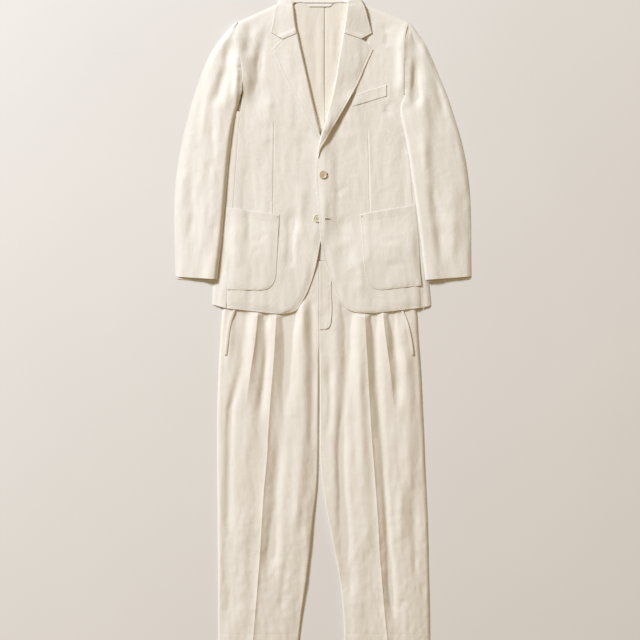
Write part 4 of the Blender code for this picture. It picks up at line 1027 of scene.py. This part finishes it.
pocketLook = {
    "sewnDown": True, "wall": 0.0008, "bridge": 3, "slot": "jacket_linen",
    "open": 0.0010,
    "wrinkle": 0.80, "seed": {"left": 210, "right": 220},
    "stitch": 0.0042, "mouthStitch": 0.0200,        # from the edges, and from the mouth, to the stitching
    "sections": {
        "left": (
            (91.5, 266, 230, 290), (97.5, 206, 237.5, 221), (101.5, 146, 241.5, 156), (108.5, 106, 243.5, 116),
            (116.5, 89.5, 244.8, 101), (127, 80.5, 245.7, 93), (145, 75.8, 246.5, 87.5),
        ),
        "right": (
            (-109, 265, -242.5, 284), (-112.5, 201, -243.5, 209), (-115.5, 146, -242.5, 146),
            (-119, 106, -241.5, 112), (-124.5, 91.5, -240.9, 95.5), (-134, 81.5, -240.4, 85.5),
            (-151, 75.2, -240, 77),
        ),
    },
}


def hipPocket(side):
    # a smooth step up from the edges, creases, a low bell along the mouth, flat at the side seam; grooves under
    # the stitching
    rows = rowsOf(metres(pocketLook["sections"][side]), 0.0028, endMarks, endMarks)
    net = netOf(rows, 0.003, (beadMarks, beadMarks[:4]))
    xy = net["xy"]
    x, y = xy[..., 0], xy[..., 1]
    edge = np.minimum(fromEdge(xy, "first"), fromEdge(xy, "end"))
    seamSide = 1 - smoothStep(0, 0.026, fromEdge(xy, "last"))
    lift = pocketLook["open"] * smoothStep(0, 0.02, edge) + 0.0006 * bell(fromEdge(xy, "start"), 0.012)
    lift += wrinkles(x, y, pocketLook["seed"][side], pocketLook["wrinkle"]) * smoothStep(0, 0.012, edge)
    lift *= 1 - seamSide
    lift += 0.0005 * softNoise(x, y, 0.0075, 0.02, 230) * bell(fromEdge(xy, "end") - 0.006, 0.009)
    dent = 0.0003 * bell(edge - pocketLook["stitch"], 0.0013)
    dent += 0.0003 * bell(fromEdge(xy, "start") - pocketLook["mouthStitch"], 0.0014)
    dent = dent * (1 - seamSide) + 0.0006 * seamSide
    return layCloth(f"hip_pocket_{side}", net, bodyMap, pocketLook, np.maximum(lift, 0.0001), jacketLinen,
                    dent=dent, restsOn=[f"jacket_front_{side}_cloth"])


collarLook = {
    "wall": 0.0010, "bridge": 3, "roll": 0.0032, "slot": "jacket_linen",
    "open": 0.0010,
    "rise": {"left": 0.0088, "right": 0.0015},      # how far the rolled edge stands up
    "leftLeaf": 0.0050,                             # how much higher the left leaf lies
    "wrinkle": 0.50, "stitch": 0.0052,
    "sections": (
        (50, 718.3, 96.3, 703.3, 122.5, 718.8), (55, 751.2, 85, 748.8, 113.3, 751.2),
        (58.5, 779, 82.5, 781.2, 105, 781.2), (59, 792, 78, 799, 95.5, 805), (54, 795.5, 64, 809, 74, 822),
        (35, 795.5, 37, 811, 39, 827), (2, 795.5, 2, 811.5, 2, 828), (-42, 795.5, -43, 811, -44, 827),
        (-64, 795.5, -73, 809, -83, 822), (-73.5, 792, -91, 799, -108, 805), (-72.5, 779, -95, 781.2, -118.3, 781.2),
        (-69.5, 751.2, -97.5, 748.8, -124.2, 751.2), (-64.2, 718.3, -100, 702.8, -130.8, 721.3),
    ),
}


def collar():
    # creases, a low bell along the outer edge, a straight rise towards the rolled edge, none behind the neck
    rows = rowsOf(metres(collarLook["sections"]), 0.0026, endMarks, endMarks)
    net = netOf(rows, 0.0024, (rollMarks, (), beadMarks))
    xy = net["xy"]
    x, y = xy[..., 0], xy[..., 1]
    neck = smoothStep(0.785, 0.800, xy[:, -1:, 1])
    edge = fromEdge(xy, "last")
    lift = collarLook["open"] + wrinkles(x, y, 240, collarLook["wrinkle"])
    lift += 0.0008 * bell(edge, 0.008) * (1 - neck)
    width = fromEdge(xy, "first") + edge
    behind = smoothStep(0.812, 0.826, xy[:, -1:, 1])
    roll = np.where(x > 0, collarLook["rise"]["left"], collarLook["rise"]["right"])
    lift *= 1 - 0.85 * neck
    lift += roll * (1 - fromEdge(xy, "first") / np.maximum(width, 1e-6)) * (1 - behind)
    lift += np.where(x > 0, collarLook["leftLeaf"], 0.0) * smoothStep(0.705, 0.785, y) * (1 - behind)
    # the leaf keeps its height where it reaches over the lapel
    flat = bridged(pressed(overTrousers, *rightTops, *leftTops), collarLook["bridge"])
    lift = readMap(flat, xy) + lift - readMap(bridged(bodyMap, collarLook["bridge"]), xy)
    dent = (0.0004 * bell(edge - collarLook["stitch"], 0.0010)) * (1 - neck) + 0.0006 * neck
    outside = smoothStep(0.094, 0.100, np.abs(x))
    for end in ("start", "end"):
        dent = dent + 0.0004 * outside * bell(fromEdge(xy, end) - 0.0045, 0.0010)
        dent = dent + 0.0004 * (1 - outside) * bell(fromEdge(xy, end), 0.003)
    folded = (("first", 1.0, collarLook["roll"]), ("last", neck, collarLook["roll"]))
    return layCloth("collar", net, bodyMap, collarLook, np.maximum(lift, 0.0003), jacketLinen, ground=tabMap,
                    folded=folded, dent=dent, restsOn=["lapel_left_cloth", "lapel_right_cloth"])


bodyMap = pressed(bodyMap, hipPocket("left"), hipPocket("right"), collar())
print("pockets and collar laid")

# sleeves

sleeveLook = {
    "wall": 0.0010, "bridge": 4, "slot": "jacket_linen",
    # radius at the inner and the outer edge
    "roll": {"left": (0.0065, 0.0130), "right": (0.0100, 0.0200)},
    "open": 0.0078,                 # air inside the sleeve
    # the shares of it at the inner and the outer edge, and in between
    "edges": {"left": (0.30, 0.30), "right": (0.95, 0.10)},
    "middle": {"left": 0.76, "right": 0.78},
    # within what distance it comes down from the front's height at the armhole
    "seamFall": {"left": 0.015, "right": 0.026},
    "cuffStep": 0.0060,             # how much longer the under sleeve is
    "cuffStitch": 0.0085,
    "wrinkle": 1.3, "fold": {"left": 2.1, "right": 1.7}, "seed": {"left": 260, "right": 280},
    "slant": {"left": 0.16, "right": -0.12},        # turn of the small creases
    "underInset": (0.0056, 0.0036),
    "heads": {
        "left": ((222.5, 739), (251.5, 699), (272.5, 656), (292.5, 607.5), (310.5, 564)),
        "right": ((-220, 745), (-252.5, 711), (-279, 674), (-300, 629), (-319, 574)),
    },
    "sections": {
        "left": (
            (204, 564, 310.5, 564), (195, 541, 320, 536), (194, 519, 329, 507.5), (202.5, 474, 341, 469),
            (214.5, 411, 355.5, 409), (226, 336, 366, 334), (237, 259, 370, 256), (246.5, 181, 370.5, 181),
            (256, 101, 371.5, 110),
        ),
        "right": (
            (-201.5, 576, -319, 574), (-209, 549, -331, 536), (-217.5, 521, -339, 504), (-226, 476, -349, 466),
            (-234, 414, -360, 409), (-241, 339, -370, 334), (-248, 256, -372.5, 254), (-255.5, 176, -371, 176),
            (-265, 102.5, -369, 109.5),
        ),
    },
    "folds": {
        "left": (
            ((229, 805, 233, 690, 235, 620, 235, 515), 16, -4), ((235.8, 691.3, 242, 576.3, 247, 488.8), 11, 0.8),
            ((270.3, 651.2, 295.3, 551.3, 307.8, 463.7), 11.2, -1.4),
            ((291.2, 676.3, 331.2, 551.3, 351.3, 426.3), 12.5, 0.8),
            ((268.7, 351.3, 278.7, 283.8, 288.8, 213.7, 301.2, 138.8), 12.5, -1.7),
            ((319.7, 351.3, 324.7, 238.8, 329.7, 146.2), 13.8, 1.3), ((247, 476.3, 257, 351.3), 10, 1),
            ((352, 351.3, 362, 176.2), 10, -0.7),
        ),
        "right": (
            ((-217, 733.8, -236.9, 666.2, -254.5, 586.3, -267, 526.3), 15, -5.2),
            ((-213.7, 676.3, -213.7, 613.8, -223.7, 538.8), 9, 1.5),
            ((-263.8, 651.2, -291.3, 551.3, -303.8, 426.3), 12.5, 1),
            ((-278.7, 506.2, -273.7, 426.3, -268.7, 356.3), 9, -1.2),
            ((-324.7, 351.3, -327.2, 263.7, -334.7, 188.8), 11.2, -1.3),
            ((-297.8, 426.3, -295.3, 276.2, -302.8, 146.2), 13.8, 1.2), ((-346.3, 426.3, -356.3, 251.3), 12.5, 0.6),
            ((-270.5, 263.7, -275.5, 146.2), 10, -0.8),
        ),
    },
}


def armpitOf(side):
    # height of the sleeve's first section
    return sleeveLook["sections"][side][0][1] / 1000


def sleeveRows(side):
    # beside the armhole the inner edge is the front's own seam
    gap = sideSign[side] * heightMap["gap"]
    seam = bodyRows(side)[0][:, 1].copy()
    seam = seam[seam[:, 1] > armpitOf(side) + 0.0015]
    seam[:, 0] += gap
    head = metres(sleeveLook["heads"][side])
    places = np.linspace(0, 1, len(seam) + 1)[:-1]
    outer = curveThrough(np.linspace(0, 1, len(head)), head, places)
    lower = rowsOf(metres(sleeveLook["sections"][side]), 0.0031, (), endMarks)
    lower[0, 0, 0] += gap
    return np.concatenate([np.stack([seam, outer], axis=1), lower]), len(seam)


def sleeveUnder(side, heights):
    # flat, set in from the upper sleeve's edges, and a little longer at the cuff
    rows, _ = sleeveRows(side)
    across = rows[:, 1] - rows[:, 0]
    across /= np.linalg.norm(across, axis=1, keepdims=True)
    rows[:, 0] += across * sleeveLook["underInset"][0]
    rows[:, 1] -= across * sleeveLook["underInset"][1]
    end = rows[-1] - rows[-12]
    rows = np.concatenate([rows[2::2], rows[-1:] + end / np.linalg.norm(end, axis=1, keepdims=True)
                           * np.linspace(0.0008, sleeveLook["cuffStep"], 6)[:, None, None]])
    net = netOf(rows, 0.004, (endMarks[:3], endMarks[:3]))
    lift = 0.0002 + 0 * net["across"]
    # the under sleeve is drawn in the painted-shade copy of the linen
    return layCloth(f"sleeve_under_{side}", net, heights, sleeveLook, lift, shadedUnderLinen,
                    restsOn=[f"jacket_side_{side}_cloth"])


def sleeveUpper(side, heights, ground):
    # across it a half sine and two parabolas, lower at the seam and the armpit, with folds and creases. At the
    # armhole it starts at the front's height and comes down exponentially; puckers beside the seam; grooves along
    # the seam and the cuff stitching
    rows, seamRows = sleeveRows(side)
    net = netOf(rows, 0.0030, (rollMarks, rollMarks))
    xy = net["xy"]
    x, y = xy[..., 0], xy[..., 1]
    below = smoothStep(seamRows - 10, seamRows + 16, np.arange(len(rows)))[:, None]
    share = np.clip(net["across"] / net["lines"][:, -1:], 0, 1)
    inner, outer = sleeveLook["edges"][side]
    lift = sleeveLook["open"] * (inner * (1 - share) ** 2 + outer * share ** 2
                                 + sleeveLook["middle"][side] * np.sin(np.pi * share))
    head = fromEdge(xy, "first")
    lift = lift * (1 - (1 - below) * 0.4 * bell(head, 0.010))
    lift = lift * (1 - 0.7 * bell(head, 0.030) * bell(y - armpitOf(side) + 0.030, 0.050))
    lift = lift + sleeveLook["fold"][side] * foldField(x, y, sleeveLook["folds"][side])
    lift += wrinkles(x, y, sleeveLook["seed"][side], sleeveLook["wrinkle"], sleeveLook["slant"][side])
    front = laid[f"jacket_front_{side}"][:, -1]
    seamTop = np.interp(-y[:, :1], -front[:, 1], front[:, 2])
    ownTop = readMap(bridged(heights, sleeveLook["bridge"]), xy[:, :1]) + sleeveLook["wall"]
    ownTop = ownTop + np.maximum(lift[:, :1], 0)
    lift += np.maximum(0, seamTop - ownTop) * (1 - below) * np.exp(-head / sleeveLook["seamFall"][side])
    puckered = bell(head, 0.012) * (1 - below)
    lift += 0.0007 * puckered * softNoise(x, y, 0.05, 0.0065, 300)
    lift += 0.0006 * bell(fromEdge(xy, "start"), 0.02) * softNoise(x, y, 0.008, 0.05, 301)
    dent = 0.0003 * bell(head, 0.0014) * (1 - below)
    dent = dent + 0.0003 * bell(fromEdge(xy, "end") - sleeveLook["cuffStitch"], 0.0012)
    inside, outside = sleeveLook["roll"][side]
    folded = (("first", below, inside), ("last", 1.0, outside))
    return layCloth(f"sleeve_upper_{side}", net, heights, sleeveLook, np.maximum(lift, 0.0003), jacketLinen,
                    ground=ground, folded=folded, sewn=("first",), dent=dent, restsOn=[f"sleeve_under_{side}_cloth"])


allMap = bodyMap
mapY = heightMap["low"][1] + heightMap["step"] * (np.arange(heightMap["shape"][1]) + 0.5)
for sleeveSide in sideSign:
    # the sleeves lie on a soft slope down from the body, and on the body itself only below the armpit
    armpitY = armpitOf(sleeveSide)
    outside = np.maximum(backMap, pressed(freshMap(), leftTops[1], rightTops[1]))
    outside = spread(spread(outside, (3, 22), "highest"), (5, 20), "average")
    last = np.searchsorted(mapY, armpitY) - 2
    climb = bodyMap[:, last:last + 1] * smoothStep(armpitY + 0.10, armpitY, mapY)
    sleeveGround = np.maximum(outside, np.where(mapY > mapY[last], climb, bodyMap))
    overUnder = pressed(sleeveGround, sleeveUnder(sleeveSide, sleeveGround))
    allMap = pressed(allMap, sleeveUpper(sleeveSide, overUnder, sleeveGround))
print("sleeves laid")

# stitching, buttonholes and button threads

threadLook = {
    "pitch": 0.0040, "length": 0.0029, "width": 0.00062, "bury": 0.00012,
    "colour": (0.80, 0.74, 0.63), "paler": (0.90, 0.86, 0.78), "twist": 2400.0,
    # near-black brown of the painted shade laid in each buttonhole's slit
    "slitShadeColour": (0.06, 0.035, 0.02),
}


def threadMaterial(name, dark, pale):
    # twisted thread: a sine along the stitch's own map, slanted by its second direction
    material, connect, make, shader = newMaterial(name)
    panel = make("ShaderNodeUVMap", uv_map="panel").outputs["UV"]
    split = make("ShaderNodeSeparateXYZ", {0: panel})
    along = make("ShaderNodeMath", {0: split.outputs["X"], 1: threadLook["twist"]}, operation="MULTIPLY")
    slanted = make("ShaderNodeMath", {0: split.outputs["Y"], 1: 6.28}, operation="MULTIPLY")
    angle = make("ShaderNodeMath", {0: along.outputs[0], 1: slanted.outputs[0]}, operation="ADD")
    twist = make("ShaderNodeMath", {0: angle.outputs[0]}, operation="SINE")
    share = make("ShaderNodeMapRange", {"Value": twist.outputs[0], "From Min": -1.0, "From Max": 1.0})
    mix = make("ShaderNodeMix", {0: share.outputs[0], 6: (*dark, 1.0), 7: (*pale, 1.0)}, data_type="RGBA")
    bump = make("ShaderNodeBump", {"Height": twist.outputs[0], "Strength": 0.4, "Distance": 0.0001})
    connect(shader, {"Base Color": mix.outputs[2], "Normal": bump.outputs["Normal"],
                     "Roughness": 0.7})
    return material


linenThread = threadMaterial("linenThread", threadLook["colour"], threadLook["paler"])
buttonThread = threadMaterial("buttonThread", (0.62, 0.52, 0.38), (0.78, 0.68, 0.52))
# painted shade: the dark sheet that stands for the shadow inside each buttonhole
slitShade = threadMaterial("slitShade", threadLook["slitShadeColour"], tuple(1.6 * c for c in threadLook["slitShadeColour"]))


def lineOn(node, edge, distance, trim=()):
    # the line on a panel's top at a set distance from one edge, cut where it comes that near to the trimmed ones
    top = laid[node]
    xy = top[..., :2]
    away = fromEdge(xy, edge)
    keep = np.ones(away.shape, bool)
    for other in trim:
        keep &= fromEdge(xy, other) >= distance
    if edge in ("start", "end"):
        top, away, keep = top.transpose(1, 0, 2), away.T, keep.T
    if edge in ("last", "end"):
        top, away, keep = top[:, ::-1], away[:, ::-1], keep[:, ::-1]
    inside = away.max(axis=1) > distance
    top, away, keep = top[inside], away[inside], keep[inside]
    after = np.clip((away < distance).sum(axis=1), 1, away.shape[1] - 1)
    rows = np.arange(len(top))
    near, far = away[rows, after - 1], away[rows, after]
    t = ((distance - near) / np.maximum(far - near, 1e-6))[:, None]
    line = top[rows, after - 1] * (1 - t) + top[rows, after] * t
    return line[keep[rows, after]]


def stitchPlaces(line, pitch):
    # middle points and directions of the stitches along a line
    steps = np.linalg.norm(np.diff(line, axis=0), axis=1)
    places = np.concatenate([[0], np.cumsum(steps)])
    count = int(places[-1] / pitch)
    if count < 1:
        return np.zeros((0, 3)), np.zeros((0, 3))
    middle = (np.arange(count) + 0.5) * places[-1] / count
    before, at, after = (np.stack([np.interp(middle + off, places, line[:, k]) for k in range(3)], axis=1)
                         for off in (-0.0006, 0, 0.0006))
    direction = after - before
    return at, direction / np.maximum(np.linalg.norm(direction, axis=1, keepdims=True), 1e-9)


def stitches(name, node, middle, direction, material, length, width):
    # each stitch is a small closed bead of five six-sided rings, arched up from the cloth
    ring = np.linspace(0, 2 * np.pi, 6, endpoint=False)
    share = np.array((-0.5, -0.38, 0.0, 0.38, 0.5))
    full = np.array((0.45, 0.85, 1.0, 0.85, 0.45))
    up = np.zeros_like(direction)
    up[:, 2] = 1
    side = np.cross(direction, up)
    side /= np.maximum(np.linalg.norm(side, axis=1, keepdims=True), 1e-9)
    rise = width * (0.55 - 1.6 * share ** 2) - threadLook["bury"]
    points = (middle[:, None, None] + direction[:, None, None] * (length * share)[None, :, None, None]
              + side[:, None, None] * (width / 2 * full[:, None] * np.cos(ring))[None, ..., None]
              + up[:, None, None] * (rise[:, None] + width / 2 * full[:, None] * np.sin(ring))[None, ..., None])
    count = len(middle)
    index = np.arange(count * 30).reshape(count, 5, 6)
    after = np.roll(index, -1, axis=2)
    sides = np.stack([index[:, :-1], index[:, 1:], after[:, 1:], after[:, :-1]], axis=-1).reshape(-1, 4)
    caps = [index[:, 0][:, order] for order in ((0, 1, 2, 3), (0, 3, 4, 5))]
    caps += [index[:, 4][:, order] for order in ((3, 2, 1, 0), (5, 4, 3, 0))]
    u = np.broadcast_to((length * share)[None, :, None], (count, 5, 6))
    v = np.broadcast_to((ring / 6.28)[None, None, :], (count, 5, 6))
    uv = np.stack([u, v], axis=-1).reshape(-1, 2)
    mesh = quadMesh(name, points.reshape(-1, 3), np.concatenate([sides, *caps]), uv)
    piece = addPiece(name, mesh, material)
    if node:
        sewnOn.setdefault(node, []).append(piece)
    return count


def stitchRow(name, node, lines):
    # one piece of stitches along all the lines
    found = [stitchPlaces(line, threadLook["pitch"]) for line in lines if len(line) > 2]
    middle, direction = (np.concatenate([f[k] for f in found]) for k in (0, 1))
    return stitches(name, node, middle, direction, linenThread, threadLook["length"], threadLook["width"])


def buttonhole(name, node, left, right, heights, eyeAt):
    # a thin lens-shaped sheet of painted shade, near black, standing for the shadow in the slit, with a round eye at
    # one end, and a ring of short stitches round it
    left, right = np.array(left), np.array(right)
    length = right[0] - left[0]
    angle = np.linspace(0, 2 * np.pi, 40, endpoint=False)
    half = length / 2
    ring = np.stack([half * np.cos(angle), 0.0010 * np.sin(angle) * np.abs(np.sin(angle))], axis=1)
    eye = bell(ring[:, 0] - eyeAt * half, 0.0022)
    ring[:, 1] += eye * 0.0019 * np.sin(angle) / np.maximum(np.abs(np.sin(angle)), 0.3)
    middle = (left + right) / 2
    plan = ring + middle
    z = readMap(heights, plan)
    # the lens is a sheet of painted shade just above the cloth
    dark = np.stack([plan[:, 0], plan[:, 1], z + 0.00022], axis=1)
    points = np.concatenate([dark, dark - np.array((0, 0, 0.0005))])
    n = len(dark)
    quads = [(k + n, (k + 1) % n + n, (k + 1) % n, k) for k in range(n)]
    mesh = bpy.data.meshes.new(name + "_slit_shade")
    mesh.from_pydata(points.tolist(), [], quads + [tuple(range(n)), tuple(range(2 * n - 1, n - 1, -1))])
    mesh.uv_layers.new(name="panel")
    mesh.update()
    piece = addPiece(name + "_slit_shade", mesh, slitShade)
    sewnOn.setdefault(node, []).append(piece)
    squash = np.array((0.15, 1.0))
    outward = ring / np.maximum(np.linalg.norm(ring * squash, axis=1, keepdims=True), 1e-6) * squash
    outward /= np.maximum(np.linalg.norm(outward, axis=1, keepdims=True), 1e-9)
    fine = np.linspace(0, len(plan), 64, endpoint=False)
    wrapped = np.concatenate([plan, plan[:1]])
    out = np.concatenate([outward, outward[:1]])
    places = np.arange(len(plan) + 1)
    middle = np.stack([np.interp(fine, places, wrapped[:, k]) for k in (0, 1)], axis=1)
    direction = np.stack([np.interp(fine, places, out[:, k]) for k in (0, 1)], axis=1)
    middle = middle + direction * 0.0009
    middle = np.concatenate([middle, readMap(heights, middle)[:, None]], axis=1)
    direction = np.concatenate([direction, np.zeros((len(direction), 1))], axis=1)
    direction /= np.linalg.norm(direction, axis=1, keepdims=True)
    stitches(name + "_stitches", node, middle, direction, linenThread, 0.0019, 0.00045)


stitchCount = 0
for side in sideSign:
    front, pocket, flap, cuff = (f"{node}_{side}" for node in ("jacket_front", "hip_pocket", "lapel", "sleeve_upper"))
    leg, mouth = f"trouser_front_{side}", f"pocket_mouth_{side}"
    inset = bodyLook["stitch"]
    edgeLine = lineOn(front, "first", inset, ("end",))
    stitchCount += stitchRow(f"front_edge_stitches_{side}", front,
                             [edgeLine[edgeLine[:, 1] < lapelLook["breakY"][side] - 0.012],
                              lineOn(front, "end", inset, ("first", "last"))])
    inset = pocketLook["stitch"]
    stitchCount += stitchRow(f"pocket_stitches_{side}", pocket,
                             [lineOn(pocket, "first", inset, ("end",)),
                              lineOn(pocket, "end", inset, ("first", "last")),
                              lineOn(pocket, "start", pocketLook["mouthStitch"])])
    inset = lapelLook["stitch"]
    notchLine = lineOn(flap, "start", inset, ("last", "first"))
    stitchCount += stitchRow(f"lapel_stitches_{side}", flap,
                             [lineOn(flap, "last", inset, ("start",)),
                              notchLine[np.abs(notchLine[:, 0]) > lapelLook["notchX"]]])
    stitchCount += stitchRow(f"hem_stitches_{side}", leg, [lineOn(leg, "end", trouserLook["hemLine"])])
    stitchCount += stitchRow(f"mouth_stitches_{side}", None, [lineOn(mouth, "first", 0.0008)])
    stitchCount += stitchRow(f"cuff_stitches_{side}", cuff,
                             [lineOn(cuff, "end", sleeveLook["cuffStitch"], ("first", "last"))])
collarLine = lineOn("collar", "last", collarLook["stitch"], ("start", "end"))
collarLine = collarLine[collarLine[:, 1] < 0.79]
stitchCount += stitchRow("collar_stitches", "collar",
                         [collarLine[collarLine[:, 0] > 0], collarLine[collarLine[:, 0] < 0]])
stitchCount += stitchRow("fly_stitches", "fly", [lineOn("fly", "last", flyLook["stitch"], ("end",)),
                                                lineOn("fly", "end", flyLook["stitch"], ("last",))])
stitchCount += stitchRow("welt_stitches", "breast_welt", [lineOn("breast_welt", "start", weltLook["stitch"])])
print(stitchCount, "stitches")

# both ends of each slit, and the end that has the eye
holeLook = {
    "lower": ((0.0052, 0.2535), (0.0208, 0.2535), -1),
    "upper": ((-0.0010, 0.3655), (0.0128, 0.3655), 1),
}
frontTop = pressed(freshMap(), laid["jacket_front_left"], laid["lapel_left"])
for which, (holeLeft, holeRight, eyeEnd) in holeLook.items():
    buttonhole(f"{which}_buttonhole", "jacket_front_left", holeLeft, holeRight, frontTop, eyeEnd)

tackLook = {
    "length": 0.0052, "width": 0.0008, "count": 5,
    "lapel": ((0.0046, 0.4716), (0.0046, 0.4708)),
}


def tack(name, node, places, heights, turn=0.0, material=None):
    # a bar of short stitches side by side, where a pocket's corner takes the strain
    places = np.array(places, float)
    middle = np.concatenate([places, readMap(heights, places)[:, None]], axis=1)
    direction = np.tile((np.cos(turn), np.sin(turn), 0.0), (len(places), 1))
    stitches(name, node, middle, direction, material or linenThread,
             tackLook["length"], tackLook["width"])


bodyTop = pressed(freshMap(), laid["jacket_front_left"], laid["jacket_front_right"], laid["lapel_left"],
                  laid["hip_pocket_left"], laid["hip_pocket_right"])
for side, sign in sideSign.items():
    corner = metres(pocketLook["sections"][side])[0, :2]
    tack(f"pocket_tack_{side}", f"hip_pocket_{side}",
         [corner + (sign * (0.003 + 0.0011 * k), -0.0045 - 0.0002 * k) for k in range(tackLook["count"])],
         bodyTop, 1.571)
tack("lapel_tack", "jacket_front_left", tackLook["lapel"], bodyTop, 0.2, buttonThread)


def buttonThreads(which, top):
    # two bars of thread across the four holes
    centre, reach = np.array(buttonLook[which]), buttonLook["holes"] * 0.707
    middle = np.array([(centre[0], centre[1] + s * reach, top) for s in (-1, 1)])
    direction = np.array(((1.0, 0.0, 0.0), (1.0, 0.0, 0.0)))
    stitches(f"button_{which}_thread", None, middle, direction, buttonThread, 2.9 * reach, 0.0009)


for which in ("upper", "lower"):
    buttonThreads(which, buttonTops[which])
print("stitching and buttonholes sewn")

for side in sideSign:
    sewnOn.setdefault(f"trouser_front_{side}", []).append(cutPieces.pop(f"pocket_mouth_{side}")[0])
print(len(cutPieces), "cloth pieces declared")

# floor, light and camera

studioLook = {
    "floor": (0.815, 0.795, 0.760),
    "key": 905.0, "keySize": 2.0, "keyPlace": (-5.1, 5.1, 5.05), "keyColour": (0.81, 0.88, 1.0),
    "fill": 0.375, "fillColour": (1.0, 0.75, 0.43),
    "cameraHeight": 3.9, "middle": (-0.0075, 0.00125), "frame": 1.6,
}


def floorMaterial():
    # pale plaster paper: wide soft patches of tone and a very fine grain
    material, connect, make, shader = newMaterial("paleFloor")
    place = make("ShaderNodeTexCoord").outputs["Object"]
    patch = make("ShaderNodeTexNoise", {"Vector": place, "Scale": 2.2, "Detail": 3.0})
    share = make("ShaderNodeMapRange", {"Value": patch.outputs["Fac"], "From Min": 0.3, "From Max": 0.7})
    base = studioLook["floor"]
    mix = make("ShaderNodeMix", {0: share.outputs[0], 6: (*(0.975 * c for c in base), 1.0), 7: (*base, 1.0)},
               data_type="RGBA")
    connect(shader, {"Base Color": mix.outputs[2], "Roughness": 0.95, "Specular IOR Level": 0.1})
    return material


def studio():
    # a floor, a round lamp at the upper left, an even warm fill and a camera straight above
    mesh = bpy.data.meshes.new("floor")
    mesh.from_pydata([(-9, -9, -0.0005), (9, -9, -0.0005), (9, 9, -0.0005), (-9, 9, -0.0005)], [], [(0, 1, 2, 3)])
    mesh.materials.append(floorMaterial())
    floor = bpy.data.objects.new("floor", mesh)
    bpy.context.scene.collection.objects.link(floor)
    lamp = bpy.data.lights.new("key", "AREA")
    lamp.shape, lamp.size = "DISK", studioLook["keySize"]
    lamp.energy, lamp.color = studioLook["key"], studioLook["keyColour"]
    key = bpy.data.objects.new("key", lamp)
    x, y, z = studioLook["keyPlace"]
    key.location = (x, y, z)
    # it faces the middle
    key.rotation_euler = (float(np.arctan2(np.hypot(x, y), z)), 0, float(np.arctan2(x, -y)))
    bpy.context.scene.collection.objects.link(key)
    world = bpy.data.worlds.new("studio")
    world.use_nodes = True
    sky = world.node_tree.nodes["Background"]
    sky.inputs["Color"].default_value = (*studioLook["fillColour"], 1.0)
    sky.inputs["Strength"].default_value = studioLook["fill"]
    bpy.context.scene.world = world
    bpy.context.scene.view_settings.view_transform = "Standard"
    lens = bpy.data.cameras.new("camera")
    height = studioLook["cameraHeight"]
    lens.sensor_width = 36.0
    lens.lens = 36.0 * (height - 0.008) / studioLook["frame"]
    lens.clip_start, lens.clip_end = 0.1, 50.0
    camera = bpy.data.objects.new("camera", lens)
    camera.location = (*studioLook["middle"], height)
    bpy.context.scene.collection.objects.link(camera)
    bpy.context.scene.camera = camera


studio()
bpy.context.view_layer.update()
